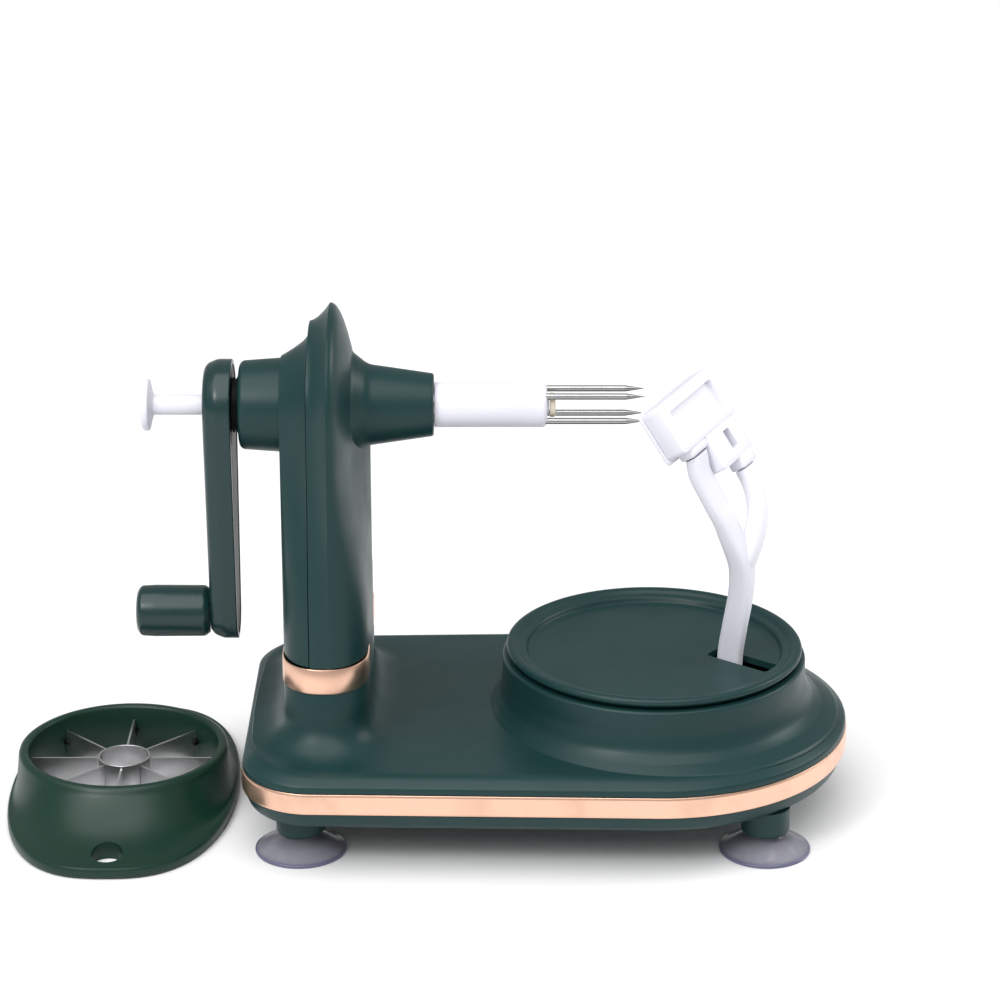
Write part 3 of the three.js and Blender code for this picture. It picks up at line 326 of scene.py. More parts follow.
class Shader:
    """A node material under construction."""

    def __init__(self, name):
        self.material = bpy.data.materials.new(name)
        self.material.use_nodes = True
        self.tree = self.material.node_tree
        self.tree.nodes.clear()
        shaded = self.node("ShaderNodeBsdfPrincipled", {}, {})
        self.surface = shaded.socket.node
        self.node("ShaderNodeOutputMaterial", {}, {"Surface": shaded})
        self.place = self.node("ShaderNodeTexCoord", {}, {}, "Object")

    def node(self, kind, settings, inputs, output=0):
        """Adds a node, sets its settings first, then its sockets to numbers or links, and gives one output, if any."""
        node = self.tree.nodes.new(kind)
        for key, value in settings.items():
            setattr(node, key, value)
        for key, value in inputs.items():
            self.feed(node.inputs[key], value)
        return Value(self, node.outputs[output]) if node.outputs else None

    def feed(self, socket, value):
        if isinstance(value, Value):
            self.tree.links.new(value.socket, socket)
        else:
            socket.default_value = value

    def noise(self, scale, detail=3.0, roughness=0.5, stretch=(1, 1, 1)):
        """Noise on object coordinates, from 0 to 1; scale is per metre."""
        where = self.node("ShaderNodeMapping", {}, {"Vector": self.place, "Scale": stretch})
        return self.node(
            "ShaderNodeTexNoise", {},
            {"Vector": where, "Scale": scale, "Detail": detail, "Roughness": roughness}, "Fac"
        )

    def mix(self, factor, a, b):
        """Mix of two colours."""
        a, b = (v if isinstance(v, Value) else (*v, 1.0) for v in (a, b))
        return self.node("ShaderNodeMix", {"data_type": "RGBA"}, {"Factor": factor, 6: a, 7: b}, 2)

    def smooth(self, value, low, high):
        """0 below low, 1 above high, soft between."""
        return self.node(
            "ShaderNodeMapRange", {"interpolation_type": "SMOOTHSTEP"},
            {"Value": value, "From Min": low, "From Max": high, "To Min": 0.0, "To Max": 1.0},
        )

    def bump(self, height, distance, strength=0.4):
        """Feeds a bump of height into the surface's normal; distance is in metres."""
        bumped = self.node("ShaderNodeBump", {},
            {"Height": height, "Distance": distance, "Strength": strength})
        self.feed(self.surface.inputs["Normal"], bumped)

    def finish(self, **sockets):
        """Sets the surface's sockets by name, with spaces for underscores."""
        for key, value in sockets.items():
            self.feed(self.surface.inputs[key.replace("_", " ")], value)
        return self.material


def shade(rgb, factor):
    return tuple(min(c * factor, 1.0) for c in rgb)


def moulded(name, rgb, roughness, coat=0.0, texture=0.00004, specular=0.5):
    """Moulded plastic: a slow drift of colour, fine spark-eroded texture and uneven gloss."""
    s = Shader(name)
    drift = s.noise(22, 2.0)
    grain = s.noise(2600, 2.0, 0.6)
    handled = s.smooth(s.noise(60, 4.0), 0.35, 0.75)
    tone = s.mix(drift, shade(rgb, 0.88), shade(rgb, 1.14))
    s.bump(grain, texture, 0.25)
    return s.finish(
        Base_Color=tone, Roughness=roughness + 0.07 * handled + 0.05 * (grain - 0.5), Coat_Weight=coat,
        Coat_Roughness=0.25,
        Specular_IOR_Level=specular,
    )


def metal(name, rgb, roughness, stretch, scratch=0.00001):
    """Drawn or polished metal: long faint lines along the piece, with a little tarnish."""
    s = Shader(name)
    lines = s.noise(900, 3.0, 0.6, stretch)
    tarnish = s.smooth(s.noise(70, 3.0), 0.4, 0.8)
    tone = s.mix(tarnish, rgb, shade(rgb, 0.86))
    s.bump(lines, scratch, 0.3)
    return s.finish(Base_Color=tone, Metallic=1.0, Roughness=roughness + 0.10 * lines + 0.05 * tarnish)


def vinyl(name, rgb, centre):
    """Translucent vinyl: clearer on the thin skirt, darker towards the stem and violet at the rim."""
    s = Shader(name)
    axes = [s.node("ShaderNodeSeparateXYZ", {}, {0: s.place}, i) for i in (0, 1)]
    x, y = (axis - float(c * MM) for axis, c in zip(axes, centre))
    radius = (x * x + y * y) ** 0.5
    rim = s.smooth(radius, 0.0160, 0.0182)
    stem = 1 - s.smooth(radius, 0.006, 0.0135)
    cloud = s.noise(240, 3.0)
    skirt = s.mix(cloud, shade(rgb, 1.25), shade(rgb, 1.6))
    tone = s.mix(rim, s.mix(stem, skirt, shade(rgb, 0.75)), (0.10, 0.10, 0.19))
    return s.finish(
        Base_Color=tone, Roughness=0.16 + 0.12 * cloud, Alpha=0.80 + 0.18 * stem + 0.16 * rim,
        Coat_Weight=0.3,
    )


def materials():
    """All finishes, made once and kept by name."""
    if "green moulded plastic" in bpy.data.materials:
        return FINISHES
    c = colours()
    FINISHES.update(
        green=moulded("green moulded plastic", c.green, 0.36, 0.0, specular=0.3),
        crank_green=moulded("green crank plastic", shade(c.green, 0.85), 0.24, 0.15, specular=0.35),
        slicer=moulded("slicer green plastic", c.slicer, 0.34, 0.0, specular=0.35),
        white=moulded("white moulded plastic", c.white, 0.42),
        black=moulded("black plastic", c.black, 0.42, specular=0.2),
        prong=metal("polished prong steel", shade(c.steel, 0.62), 0.16, (0.05, 3.0, 3.0)),
        cream=moulded("cream natural plastic", c.cream, 0.45),
        copper=metal("rose copper trim", c.copper, 0.24, (0.2, 0.2, 6.0)),
        steel=metal("drawn steel", c.steel, 0.2, (0.05, 3.0, 3.0)),
        blade=metal("ground blade steel", shade(c.steel, 1.15), 0.24, (3.0, 3.0, 0.1)),
    )
    return FINISHES


FINISHES = {}


def finish_of(name):
    return materials()[name]


# ---------------------------------------------------------------- base
BASE_CENTRE = np.array([TABLE_X, 0.0])
END_R = BASE_HIGH[0] - TABLE_X
LEFT = TABLE_X - BASE_LOW[0]
LEFT_HALF = END_R - 3.4


def base_outline(inset, count=72):
    """The base's plan as a ring of (x, y): a half circle about the turntable, two sides and two corners."""
    corner = sizes().corner
    x, y = TABLE_X - LEFT + corner, LEFT_HALF - corner

    def arc(cx, cy, r, a, b, steps):
        t = np.radians(np.linspace(a, b, steps))
        return np.stack([cx + r * np.cos(t), cy + r * np.sin(t)], -1)

    def side(a, b, steps=14):
        return a + (b - a) * np.linspace(0, 1, steps + 2)[1:-1, None]

    end = arc(TABLE_X, 0, END_R - inset, -90, 90, count)
    back = arc(x, y, corner - inset, 90, 180, 16)
    front = arc(x, -y, corner - inset, 180, 270, 16)
    return np.vstack([end, side(end[-1], back[0]), back, side(back[-1], front[0], 6), front,
        side(front[-1], end[0])])


def base_rows(profile):
    """Rows of the base's outline, one for each (inset, height) of a profile."""
    return [np.column_stack([base_outline(d), np.full(len(base_outline(d)), z)]) for d, z in profile]


def well_row(radius, z):
    """A circle about the turntable whose points lie on the rays to the outline's points."""
    ring = base_outline(0) - BASE_CENTRE
    t = np.arctan2(ring[:, 1], ring[:, 0])
    return np.stack([TABLE_X + radius * np.cos(t), radius * np.sin(t), 0 * t + z], -1)


COLUMN_HALF = (BAND_HIGH[0] - BAND_LOW[0]) / 2 - 0.35
RIDGE = 2.5
BLUNT_DEEP, BLUNT_POWER = 17.0, 2.3


def column_depth(z):
    """Half depth of the column below the spindle, growing evenly from the head's radius to the foot's."""
    s = sizes()
    fall = (SPINDLE_Z - z) / (SPINDLE_Z - s.deck)
    return s.head_radius + (s.foot_depth - s.head_radius) * max(fall, 0.0)


def blunt(x):
    """How far the column's blunt end has drawn in at x: a superellipse."""
    u = np.clip(np.abs(x) / COLUMN_HALF, 0, 1)
    return BLUNT_DEEP * (1 - (1 - u**BLUNT_POWER) ** (1 / BLUNT_POWER))


def column_ring(z, grow=0.0, steps=30):
    """The column's plain section at a height, as a ring of points: blunt ends and slightly bulging sides."""
    depth = column_depth(z)
    x = COLUMN_HALF * np.sin(np.linspace(-np.pi / 2, np.pi / 2, steps))
    run = np.linspace(0, 1, 8)[1:-1]
    end = depth - blunt(x)
    front, back = np.stack([x, -end], -1), np.stack([x[::-1], end[::-1]], -1)
    side = lambda a, b: a + (b - a) * run[:, None]
    ring = np.vstack([front, side(front[-1], back[0]), back, side(back[-1], front[0])])
    ring[:, 0] *= bulge(depth - np.abs(ring[:, 1]), depth)
    out = np.roll(ring, -1, 0) - np.roll(ring, 1, 0)
    out = np.stack([out[:, 1], -out[:, 0]], -1)
    ring = ring + np.broadcast_to(grow, len(ring))[:, None] * out / np.linalg.norm(out, axis=1)[:, None]
    return np.column_stack([ring[:, 0] + COLUMN_X, ring[:, 1], np.full(len(ring), z)])


def bulge(inward, depth):
    """Share of the half width at a distance in from the column's end; the sides swell to the middle."""
    return 1 - 0.13 * (1 - np.clip(inward / depth, 0, 1)) ** 2


def hood_rows(low, head, heights=30, turns=44):
    """Rows of a shell that runs up the column's front, over the round head and down its back.

    head gives, for each point of the section, its x, how far in from the outline it lies at the plain foot, and its
    x and depth at the head. Below the spindle the section shifts smoothly from the one to the other, and a share of
    the depth stands for the distance in, so that front and back meet at the middle. Over the head each point goes
    round the spindle at its own radius.
    """
    s = sizes()
    x_foot, in_foot, x_head, in_head = (np.asarray(v, float) for v in zip(*head))
    rise = np.linspace(low, SPINDLE_Z, heights)
    front = []
    for z in rise:
        w = np.clip((z - 88) / (SPINDLE_Z - 12 - 88), 0, 1)
        w = w * w * (3 - 2 * w)
        depth = column_depth(z)
        inward = in_foot * (1 - w) + in_head * w
        x = (x_foot * (1 - w) + x_head * w) * bulge(inward, depth)
        front.append(np.stack([x, -depth * (1 - inward / s.head_radius), np.full(len(x), z)], -1))
    turn = np.linspace(-np.pi / 2, np.pi / 2, turns)[1:-1, None]
    r = s.head_radius - in_head
    x = x_head * bulge(in_head, s.head_radius)
    over = np.stack([x + 0 * turn, r * np.sin(turn), SPINDLE_Z + r * np.cos(turn)], -1)
    front = np.array(front)
    back = front[::-1] * (1, -1, 1)
    return np.concatenate([front, over, back]) + (COLUMN_X, 0, 0)


def base_shell():
    """Deck, housing and column foot, as three surfaces that run into one another."""
    s = sizes()
    low = BASE_LOW[2]
    outer = rounded([(0, low), (0, s.deck - 3.4, 7), (5.2, s.deck, 12), (16, s.deck)], 10)
    rows = base_rows(outer)
    rows += [well_row(s.collar - 3.2, s.deck), well_row(s.collar - 3.2, s.deck - s.wall)]
    rows += base_rows([(9, s.deck - s.wall), (s.wall, 36), (s.wall, low)])
    skin = Skin().grid(rows, closed=True)
    top = DISC_HIGH[2] - 4.6
    c = s.collar
    wall = rounded([
        (c - 3.2, top, 0.7), (c - 0.2, top, 1.3), (c, top - 9, 20), (c + 0.9, 47.5, 9), (c + 3.0, 43.4, 3.5),
        (c + 4.6, s.deck, 4), (c + 5.6, s.deck - 0.8), (c - 3.2, s.deck - 0.8), (c - 3.2, top - 1),
    ], 9)
    t = np.linspace(0, 2 * np.pi, 160, endpoint=False)
    lean = (0.5 + 0.5 * np.cos(t + 0.35)) ** 1.3
    spread = np.interp(wall[:, 1], [s.deck, 42.3, 44.5, 52], [8.5, 6.5, 2.4, 0]) * (wall[:, 0] > c - 1)
    r = wall[:, 0][:, None] + spread[:, None] * lean
    skin.grid(np.stack([TABLE_X + r * np.cos(t), r * np.sin(t), wall[:, 1][:, None] + 0 * t], -1),
        closed=True)
    fillet = s.fillet
    t = np.radians(np.linspace(0, 90, 14))
    flare = [(fillet * (1 - np.sin(a)), s.deck + fillet * (1 - np.cos(a))) for a in t]
    top = [(0.0, BAND_LOW[2] - 0.9), (-0.2, BAND_LOW[2] - 0.3), (-0.2, BAND_HIGH[2])]
    skin.grid([column_ring(z, grow) for grow, z in [(fillet + 0.3, s.deck - 0.6), *flare, *top]])
    return skin


def lower_shell():
    """The tray under the strip, with its turned-in edge and the four feet posts."""
    low = SHELL_LOW[2]
    under = 17.7
    outer = rounded([
        (40, under), (9, under, 4), (3.0, 19.4, 8), (0.3, 26.2, 0.4), (2.2, 26.3), (2.2, STRIP_HIGH[2]),
        (4.6, STRIP_HIGH[2]),
        (4.6, 24), (9, 20.1), (40, 20.1),
    ], 8)
    skin = Skin().grid(base_rows(outer), closed=False)
    for node in [f"suction_cup_{i}" for i in range(1, 5)]:
        x, y, _ = middle_mm(node)
        skin.turned(rounded([(0, low), (9.5, low, 1), (9.5, 19), (0, 19)]), (x, y, 0), steps=48)
    return skin


def strip_ring():
    """The metal strip let into the base's side, slightly crowned."""
    low, high = STRIP_LOW[2], STRIP_HIGH[2]
    profile = rounded([
        (1.9, low), (-0.1, low, 0.3), (-0.42, low + 0.9, 1.5), (-0.5, (low + high) / 2, 30),
        (-0.42, high - 0.9, 1.5),
        (-0.1, high, 0.3), (1.9, high), (1.9, low),
    ], 5)
    return Skin().grid(base_rows(profile[:-1]), closed=True)


def cup_skin(centre):
    """A suction cup: a thin flared skirt with a rolled lip, a neck and a barbed stem."""
    x, y, _ = centre
    profile = rounded([
        (0, 3.6), (7, 3.2, 8), (13.5, 1.6, 6), (16.6, 0.0, 0.4), (17.9, 0.0, 0.5), (17.9, 1.2, 0.5),
        (15.6, 2.2, 4),
        (11.4, 4.7, 8), (7.2, 6.6, 5), (6.2, 8.1), (4.2, 8.1), (4.2, 13.6, 0.8), (0, 13.8),
    ], 6)
    return Skin().turned(profile, (x, y, 0), steps=72)


class PEELER_OT_base(bpy.types.Operator):
    """Build the base shells, strip and suction cups"""

    bl_idname = "peeler.base"
    bl_label = "Base"

    def execute(self, context):
        base_shell().make("base_top", finish_of("green"), "base", ["base_upper_shell"], "green_plastic", 50)
        lower_shell().make("base_tray", finish_of("green"), "base", ["base_lower_shell"], "green_plastic", 40)
        strip_ring().make("base_strip", finish_of("copper"), "base", ["base_trim_strip"], "copper_trim", 50)
        for i in range(1, 5):
            node = f"suction_cup_{i}"
            centre = middle_mm(node)
            finish = vinyl(f"cup vinyl {i}", colours().vinyl, centre)
            cup_skin(centre).make(f"cup_{i}", finish, "base", [node], "cup_rubber", 60)
        return {"FINISHED"}


# ---------------------------------------------------------------- column
def front_shell():
    """The spindle side of the column: a ridge that ends in a crest, a channel, and the spindle's boss.

    At the head the channel rises to the ridge as 7 (1 - u^1.6), and the flank falls away from it as 0.13 d^2.3.
    """
    s = sizes()
    edge = 0.2 - s.parting
    reach = s.head_radius
    u = np.linspace(0, 1, 9)
    x = edge + (RIDGE - edge) * u
    lift = 0.4 * np.exp(-(((x - RIDGE) / 0.7) ** 2))
    head = [(edge, reach, edge, reach), *zip(x, blunt(x) - lift + 0.3, x, 7 * (1 - u**1.6))]
    d = np.array([0.7, 1.6, 2.8, 4.2, 5.6, 7.0, 8.2, 9.2])
    flank = COLUMN_HALF * np.sin(np.linspace(np.arcsin(RIDGE / COLUMN_HALF), np.pi / 2, 9)[1:])
    head += list(zip(flank, blunt(flank) + 0.25, RIDGE + d, 0.13 * d**2.3))
    wall = COLUMN_HALF
    head += [(wall, 22, wall - 4.2, 25.5), (wall, 29, wall - 2.2, 32), (wall, reach - 4, wall, 37.5),
        (wall, reach, wall, reach)]
    skin = Skin().hood(hood_rows(BAND_HIGH[2] + 0.3, head))
    right, end = COLUMN_X + COLUMN_HALF, SLEEVE_LOW[0] - 0.3
    boss = rounded([
        (0, COLUMN_X), (24, right - 9), (20.2, right - 6, 6), (15.9, right - 0.6, 8), (12.2, end, 1.1),
        (9.3, end, 0.4),
        (9.3, end - 4), (0, end - 4),
    ], 9)
    return skin.turned(boss, (0, 0, SPINDLE_Z), "X", 96)


def crank_cover():
    """The crank side of the column, lower at the head by a step, with the hub that the collar turns against."""
    s = sizes()
    edge = -0.2 - s.parting
    reach, wall = s.head_radius, -COLUMN_HALF
    x = wall * np.sin(np.linspace(np.pi / 2, np.arcsin(edge / wall), 10))
    fall = 12.4 + 8.2 * ((edge - x) / (edge - wall)) ** 0.75
    head = [(wall, reach, wall, reach), (wall, 26, wall, 30), *zip(x, blunt(x) + 0.7, x, fall),
        (edge, reach, edge, reach)]
    skin = Skin().hood(hood_rows(BAND_HIGH[2] + 0.3, head))
    end = COVER_LOW[0]
    hub = rounded([
        (0, end + 4), (9.3, end + 4), (9.3, end, 0.5), (17.2, end, 2.4),
        (18.4, COLUMN_X - COLUMN_HALF + 1, 0.5),
        (18.4, COLUMN_X - 9), (0, COLUMN_X - 9),
    ], 9)
    return skin.turned(hub, (0, 0, SPINDLE_Z), "X", 96)


def band_ring():
    """The metal band: proud by a third of a millimetre at the column's ends, under the skin at its sides."""
    low, high = BAND_LOW[2], BAND_HIGH[2]
    profile = [(-1.6, low), (0.1, low), (0.35, low + 0.5), (0.4, (low + high) / 2), (0.35, high - 0.5),
        (0.1, high), (-1.6, high)]
    inward = column_depth(low) - np.abs(column_ring(low)[:, 1])
    sink = 0.9 * np.clip((inward - 24) / 4, 0, 1)
    return Skin().grid([column_ring(z, d - sink) for d, z in profile], closed=True)


class PEELER_OT_column(bpy.types.Operator):
    """Build the column's two shells and its band"""

    bl_idname = "peeler.column"
    bl_label = "Column"

    def execute(self, context):
        green = finish_of("green")
        front_shell().make("column_front", green, "base", ["column_front_shell"], "green_plastic", 45)
        crank_cover().make("column_cover", green, "base", ["column_crank_cover"], "green_plastic", 45)
        band_ring().make("column_band", finish_of("copper"), "base", ["column_trim_band"], "copper_trim", 40)
        return {"FINISHED"}


# ---------------------------------------------------------------- spindle
def along_x(skin_profile, steps=64, y=0.0, z=None, closed=False):
    """A profile of (radius, x) turned about the spindle's direction."""
    return Skin().turned(skin_profile, (0, y, SPINDLE_Z if z is None else z), "X", steps, closed)


class PEELER_OT_spindle(bpy.types.Operator):
    """Build the sleeve, prongs, push rod and ejector"""

    bl_idname = "peeler.spindle"
    bl_label = "Spindle"

    def execute(self, context):
        a, b = SLEEVE_LOW[0], SLEEVE_HIGH[0]
        sleeve = rounded([
            (4.4, a), (8.8, a, 0.3), (8.8, b, 2.2), (4.4, b, 0.5), (4.4, b - 8), (0.0, b - 8), (0.0, a),
        ], 8)
        along_x(sleeve[:-1]).make("sleeve", finish_of("white"), "crank", ["spindle_sleeve"], "white_plastic")
        for i in range(1, 5):
            low, high = box_mm(f"prong_{i}")
            _, y, z = (low + high) / 2
            tip = high[0] - 7.3
            prong = rounded([(0, low[0]), (1.25, low[0]), (1.25, tip, 6), (0.12, high[0] - 0.1, 0.1),
                (0, high[0])], 6)
            along_x(prong, 32, y, z).make(f"prong_steel_{i}", finish_of("prong"), "crank", [f"prong_{i}"],
                "steel")
        low, high = box_mm("push_rod")
        x = low[0]
        push = rounded([
            (0, x + 0.3), (8.6, x, 6), (10.2, x + 1.1, 1.0), (10.2, x + 3.2, 1.0), (5.8, x + 4.2, 0.8),
            (4.0, x + 4.9, 0.5), (4.0, high[0]), (0, high[0]),
        ], 7)
        along_x(push).make("push_rod_white", finish_of("white"), "ejector", ["push_rod"], "white_plastic")
        low, high = box_mm("ejector_nose")
        nose = rounded([(0, low[0]), (4.8, low[0]), (4.8, high[0], 0.8), (0, high[0])])
        along_x(nose, 40).make("ejector_cream", finish_of("cream"), "ejector", ["ejector_nose"],
            "natural_plastic")
        return {"FINISHED"}


# ---------------------------------------------------------------- crank
PIN_Z = (KNOB_LOW[2] + KNOB_HIGH[2]) / 2
ARM_LENGTH = SPINDLE_Z - PIN_Z


def arm_outline(inset, steps=40):
    """Two round ends joined by their outer tangents, in (y, z)."""
    top, end = 17.9 - inset, 11.0 - inset
    tilt = np.arcsin((top - end) / ARM_LENGTH)
    t = np.linspace(-tilt, np.pi + tilt, steps)
    b = np.linspace(np.pi + tilt, 2 * np.pi - tilt, steps)
    upper = np.stack([top * np.cos(t), SPINDLE_Z + top * np.sin(t)], -1)
    lower = np.stack([end * np.cos(b), PIN_Z + end * np.sin(b)], -1)
    return np.vstack([upper, lower])


def arm_rows(profile):
    """Rows of the crank arm's outline, one for each (inset, x)."""
    return [np.column_stack([np.full(80, x), arm_outline(d)]) for d, x in profile]


class PEELER_OT_crank(bpy.types.Operator):
    """Build the crank arm, its cover, the collar and the knob"""

    bl_idname = "peeler.crank"
    bl_label = "Crank"

    def execute(self, context):
        a, b = ARM_LOW[0], ARM_HIGH[0]
        shell = rounded([(9, a), (2.2, a, 7), (0, a + 5.2, 6), (0, b, 0.6), (2.0, b, 0.2), (2.0, b - 3.4),
            (9, b - 3.4)], 9)
        arm = Skin().grid(arm_rows(shell))
        arm.make("crank_arm_green", finish_of("crank_green"), "crank", ["crank_arm"], "green_plastic", 50)
        low, high = box_mm("crank_inner_cover")
        plate = rounded([(9, low[0]), (2.3, low[0]), (2.3, high[0], 0.4), (9, high[0])])
        cover = Skin().grid(arm_rows(plate))
        cover.make("crank_cover_black", finish_of("black"), "crank", ["crank_inner_cover"], "black_plastic")
        low, high = box_mm("crank_collar")
        l, h = low[0], high[0]
        ring = rounded([
            (5.8, l), (10.9, l, 0.3), (10.9, l + 0.7, 0.1), (10.2, l + 0.8, 0.1), (10.2, h - 0.8, 0.1),
            (10.9, h - 0.7, 0.1),
            (10.9, h, 0.3), (5.8, h), (5.8, l),
        ])
        along_x(ring[:-1], 64, closed=True).make("collar_black", finish_of("black"), "crank",
            ["crank_collar"], "black_plastic")
        l, h = KNOB_LOW[0], KNOB_HIGH[0]
        grip = rounded([
            (2.9, l + 4.4), (4.9, l + 4.4), (4.9, l + 0.4, 0.3), (7.8, l, 0.8), (10.0, l + 1.4, 2.6),
            (10.3, l + 7, 20),
            (10.2, h - 2, 2.5), (8.6, h, 0.8), (2.9, h), (2.9, l + 4.4),
        ], 8)
        along_x(grip[:-1], 72, z=PIN_Z, closed=True).make("knob_green", finish_of("crank_green"), "knob",
            ["crank_knob"], "green_plastic")
        return {"FINISHED"}


# ---------------------------------------------------------------- turntable and arm
ARM_PLAN = np.radians(-38)
ARM_FRAME = np.array([
    [np.cos(ARM_PLAN), -np.sin(ARM_PLAN), 0, TABLE_X], [np.sin(ARM_PLAN), np.cos(ARM_PLAN), 0, 0],
    [0, 0, 1, 0], [0, 0, 0, 1],
])
SLOT_SIDE = 13.6


def slot_cutter():
    """A round-ended bar through the disc, beside the turntable's radius."""
    ring = rounded_rectangle(19.0, 47.4, SLOT_SIDE - 4.4, SLOT_SIDE + 4.4, 1.6)
    rows = [np.column_stack([ring, np.full(len(ring), z)]) for z in (40.0, 80.0)]
    return cutter_from(Skin().grid(rows).place(ARM_FRAME))


class PEELER_OT_turntable(bpy.types.Operator):
    """Build the turntable's disc with its slot"""

    bl_idname = "peeler.turntable"
    bl_label = "Turntable"

    def execute(self, context):
        top = DISC_HIGH[2]
        r = (DISC_HIGH[0] - DISC_LOW[0]) / 2
        disc = rounded([
            (0, top - 6.9), (51, top - 6.9), (51, top - 9), (55.6, top - 9, 0.6), (55.6, top - 3.2, 0.3),
            (58.0, top - 3.2, 0.6),
            (r, top - 2.0, 1.6), (r - 0.6, top - 0.3, 1.6), (r - 2.4, top, 1.2), (r - 4.0, top - 0.5, 1.4),
            (r - 5.4, top - 1.6, 1),
            (r - 8.0, top - 1.9, 1.4), (r - 8.9, top - 3.9, 0.9), (r - 10.4, top - 4.2, 1.0), (0, top - 4.2),
        ], 6)
        piece = Skin().turned(disc, (TABLE_X, 0, 0), steps=168).make(
            "turntable_green", finish_of("green"), "turntable", ["turntable_disc"], "green_plastic", 30
        )
        carve(piece, [slot_cutter()])
        settle(piece, finish_of("green"), "turntable", angle=30)
        return {"FINISHED"}


def unit(v):
    v = np.asarray(v, float)
    return v / np.linalg.norm(v)


# The head's directions in the arm's frame: along the blade, down the head, and towards the apple.
YAW, ROLL, LEAN = np.radians((5.2, 8.8, 33))
HEAD_B = np.array([-np.sin(YAW) * np.cos(ROLL), np.cos(YAW) * np.cos(ROLL), np.sin(ROLL)])
LEAN_DOWN = np.array([np.sin(LEAN), 0, -np.cos(LEAN)])
HEAD_H = unit(LEAN_DOWN - (LEAN_DOWN @ HEAD_B) * HEAD_B)
HEAD_T = np.cross(HEAD_B, HEAD_H)
HEAD_C = np.array([12.8, 2.7, 165.4])
HEAD_FRAME = np.eye(4)
HEAD_FRAME[:3, :3] = np.column_stack([HEAD_B, HEAD_H, HEAD_T])
HEAD_FRAME[:3, 3] = HEAD_C
HEAD_WORLD = ARM_FRAME @ HEAD_FRAME


def head_at(b, h):
    return HEAD_C + b * HEAD_B + h * HEAD_H


def through(stations, per_span=7):
    """Values on a smooth curve through stations, each span a cubic with slopes from its neighbours."""
    p = np.array(stations, float)
    p = np.vstack([2 * p[0] - p[1], p, 2 * p[-1] - p[-2]])
    out = []
    for a, b, c, d in zip(p, p[1:], p[2:], p[3:]):
        t = np.linspace(0, 1, per_span, endpoint=False)[:, None]
        out.append(0.5 * (2 * b + (c - a) * t + (2 * a - 5 * b + 4 * c - d) * t**2 + (3 * b - a - 3 * c + d) * t**3))
    return np.vstack([*out, p[-2]])


def limb(stations, steps=28):
    """Rows round a limb: soft oblongs of half sizes across and through, square to the limb's run."""
    values = through([[*c, u, v] for c, u, v in stations])
    centre, half = values[:, :3], values[:, 3:]
    along = np.gradient(centre, axis=0)
    along /= np.linalg.norm(along, axis=1)[:, None]
    along[0] = HEAD_H
    blend = np.clip((135 - centre[:, 2]) / 40, 0, 1)[:, None]
    across = HEAD_B * (1 - blend) + np.array([0, 1.0, 0]) * blend
    across = across - np.einsum("ij,ij->i", across, along)[:, None] * along
    across /= np.linalg.norm(across, axis=1)[:, None]
    over = np.cross(along, across)
    t = np.linspace(0, 2 * np.pi, steps, endpoint=False)
    soft = lambda v: np.sign(v) * np.abs(v) ** 0.6
    u = half[:, 0][:, None] * soft(np.cos(t))
    v = half[:, 1][:, None] * soft(np.sin(t))
    return centre[:, None] + u[..., None] * across[:, None] + v[..., None] * over[:, None]


def fork_skin():
    """The arm: a flat stem in the slot that widens and splits into two branches towards the head."""
    near = limb([
        (head_at(-9.75, 14.5), 5, 3.4), ((22.9, -3.7, 144.6), 4.9, 3.4), ((25.7, -1, 137.1), 5.2, 3.4),
        ((28, 0.8, 131.2), 4.9, 3.5), ((30.2, 3.2, 125.1), 4.6, 3.8), ((31.5, 6, 118.3), 4.6, 4.2),
        ((33.3, 9.6, 109.5), 4.4, 5), ((33.6, 11.5, 102), 3.9, 5), ((32.4, 12.6, 91), 3.2, 5),
        ((29.4, 13.4, 76), 2.7, 5.2),
        ((27.6, SLOT_SIDE, 64), 2.5, 5.4), ((27.4, SLOT_SIDE, 50), 2.5, 5.4),
        ((27.4, SLOT_SIDE, 44.8), 2.5, 4.6),
    ])
    far = limb([
        (head_at(11.4, 30.6), 4.1, 3.3), ((32.4, 18.8, 136), 3.9, 3.3), ((35.5, 17.6, 129.5), 3.8, 3.5),
        ((37.1, 15.8, 123.5), 3.8, 3.7), ((37.3, 13.6, 117), 3.9, 4), ((36, 11.6, 110), 3.6, 4.2),
        ((34.9, 11.4, 104), 2.6, 3.6),
    ])
    return Skin().grid(near).grid(far).place(ARM_FRAME)


def ring_prism(outer, inner, back, face, soft=0.7):
    """A plate with a window: its rings run out over the back, down the window and back over the face."""
    inset = [(0, back + soft), (soft * 0.3, back + soft * 0.3), (soft, back), (None, back), (None, face),
        (soft, face),
             (soft * 0.3, face - soft * 0.3), (0, face - soft)]
    rows = []
    for d, t in inset:
        ring = inner() if d is None else outer(d)
        rows.append(np.column_stack([ring, np.full(len(ring), t)]))
    return rows


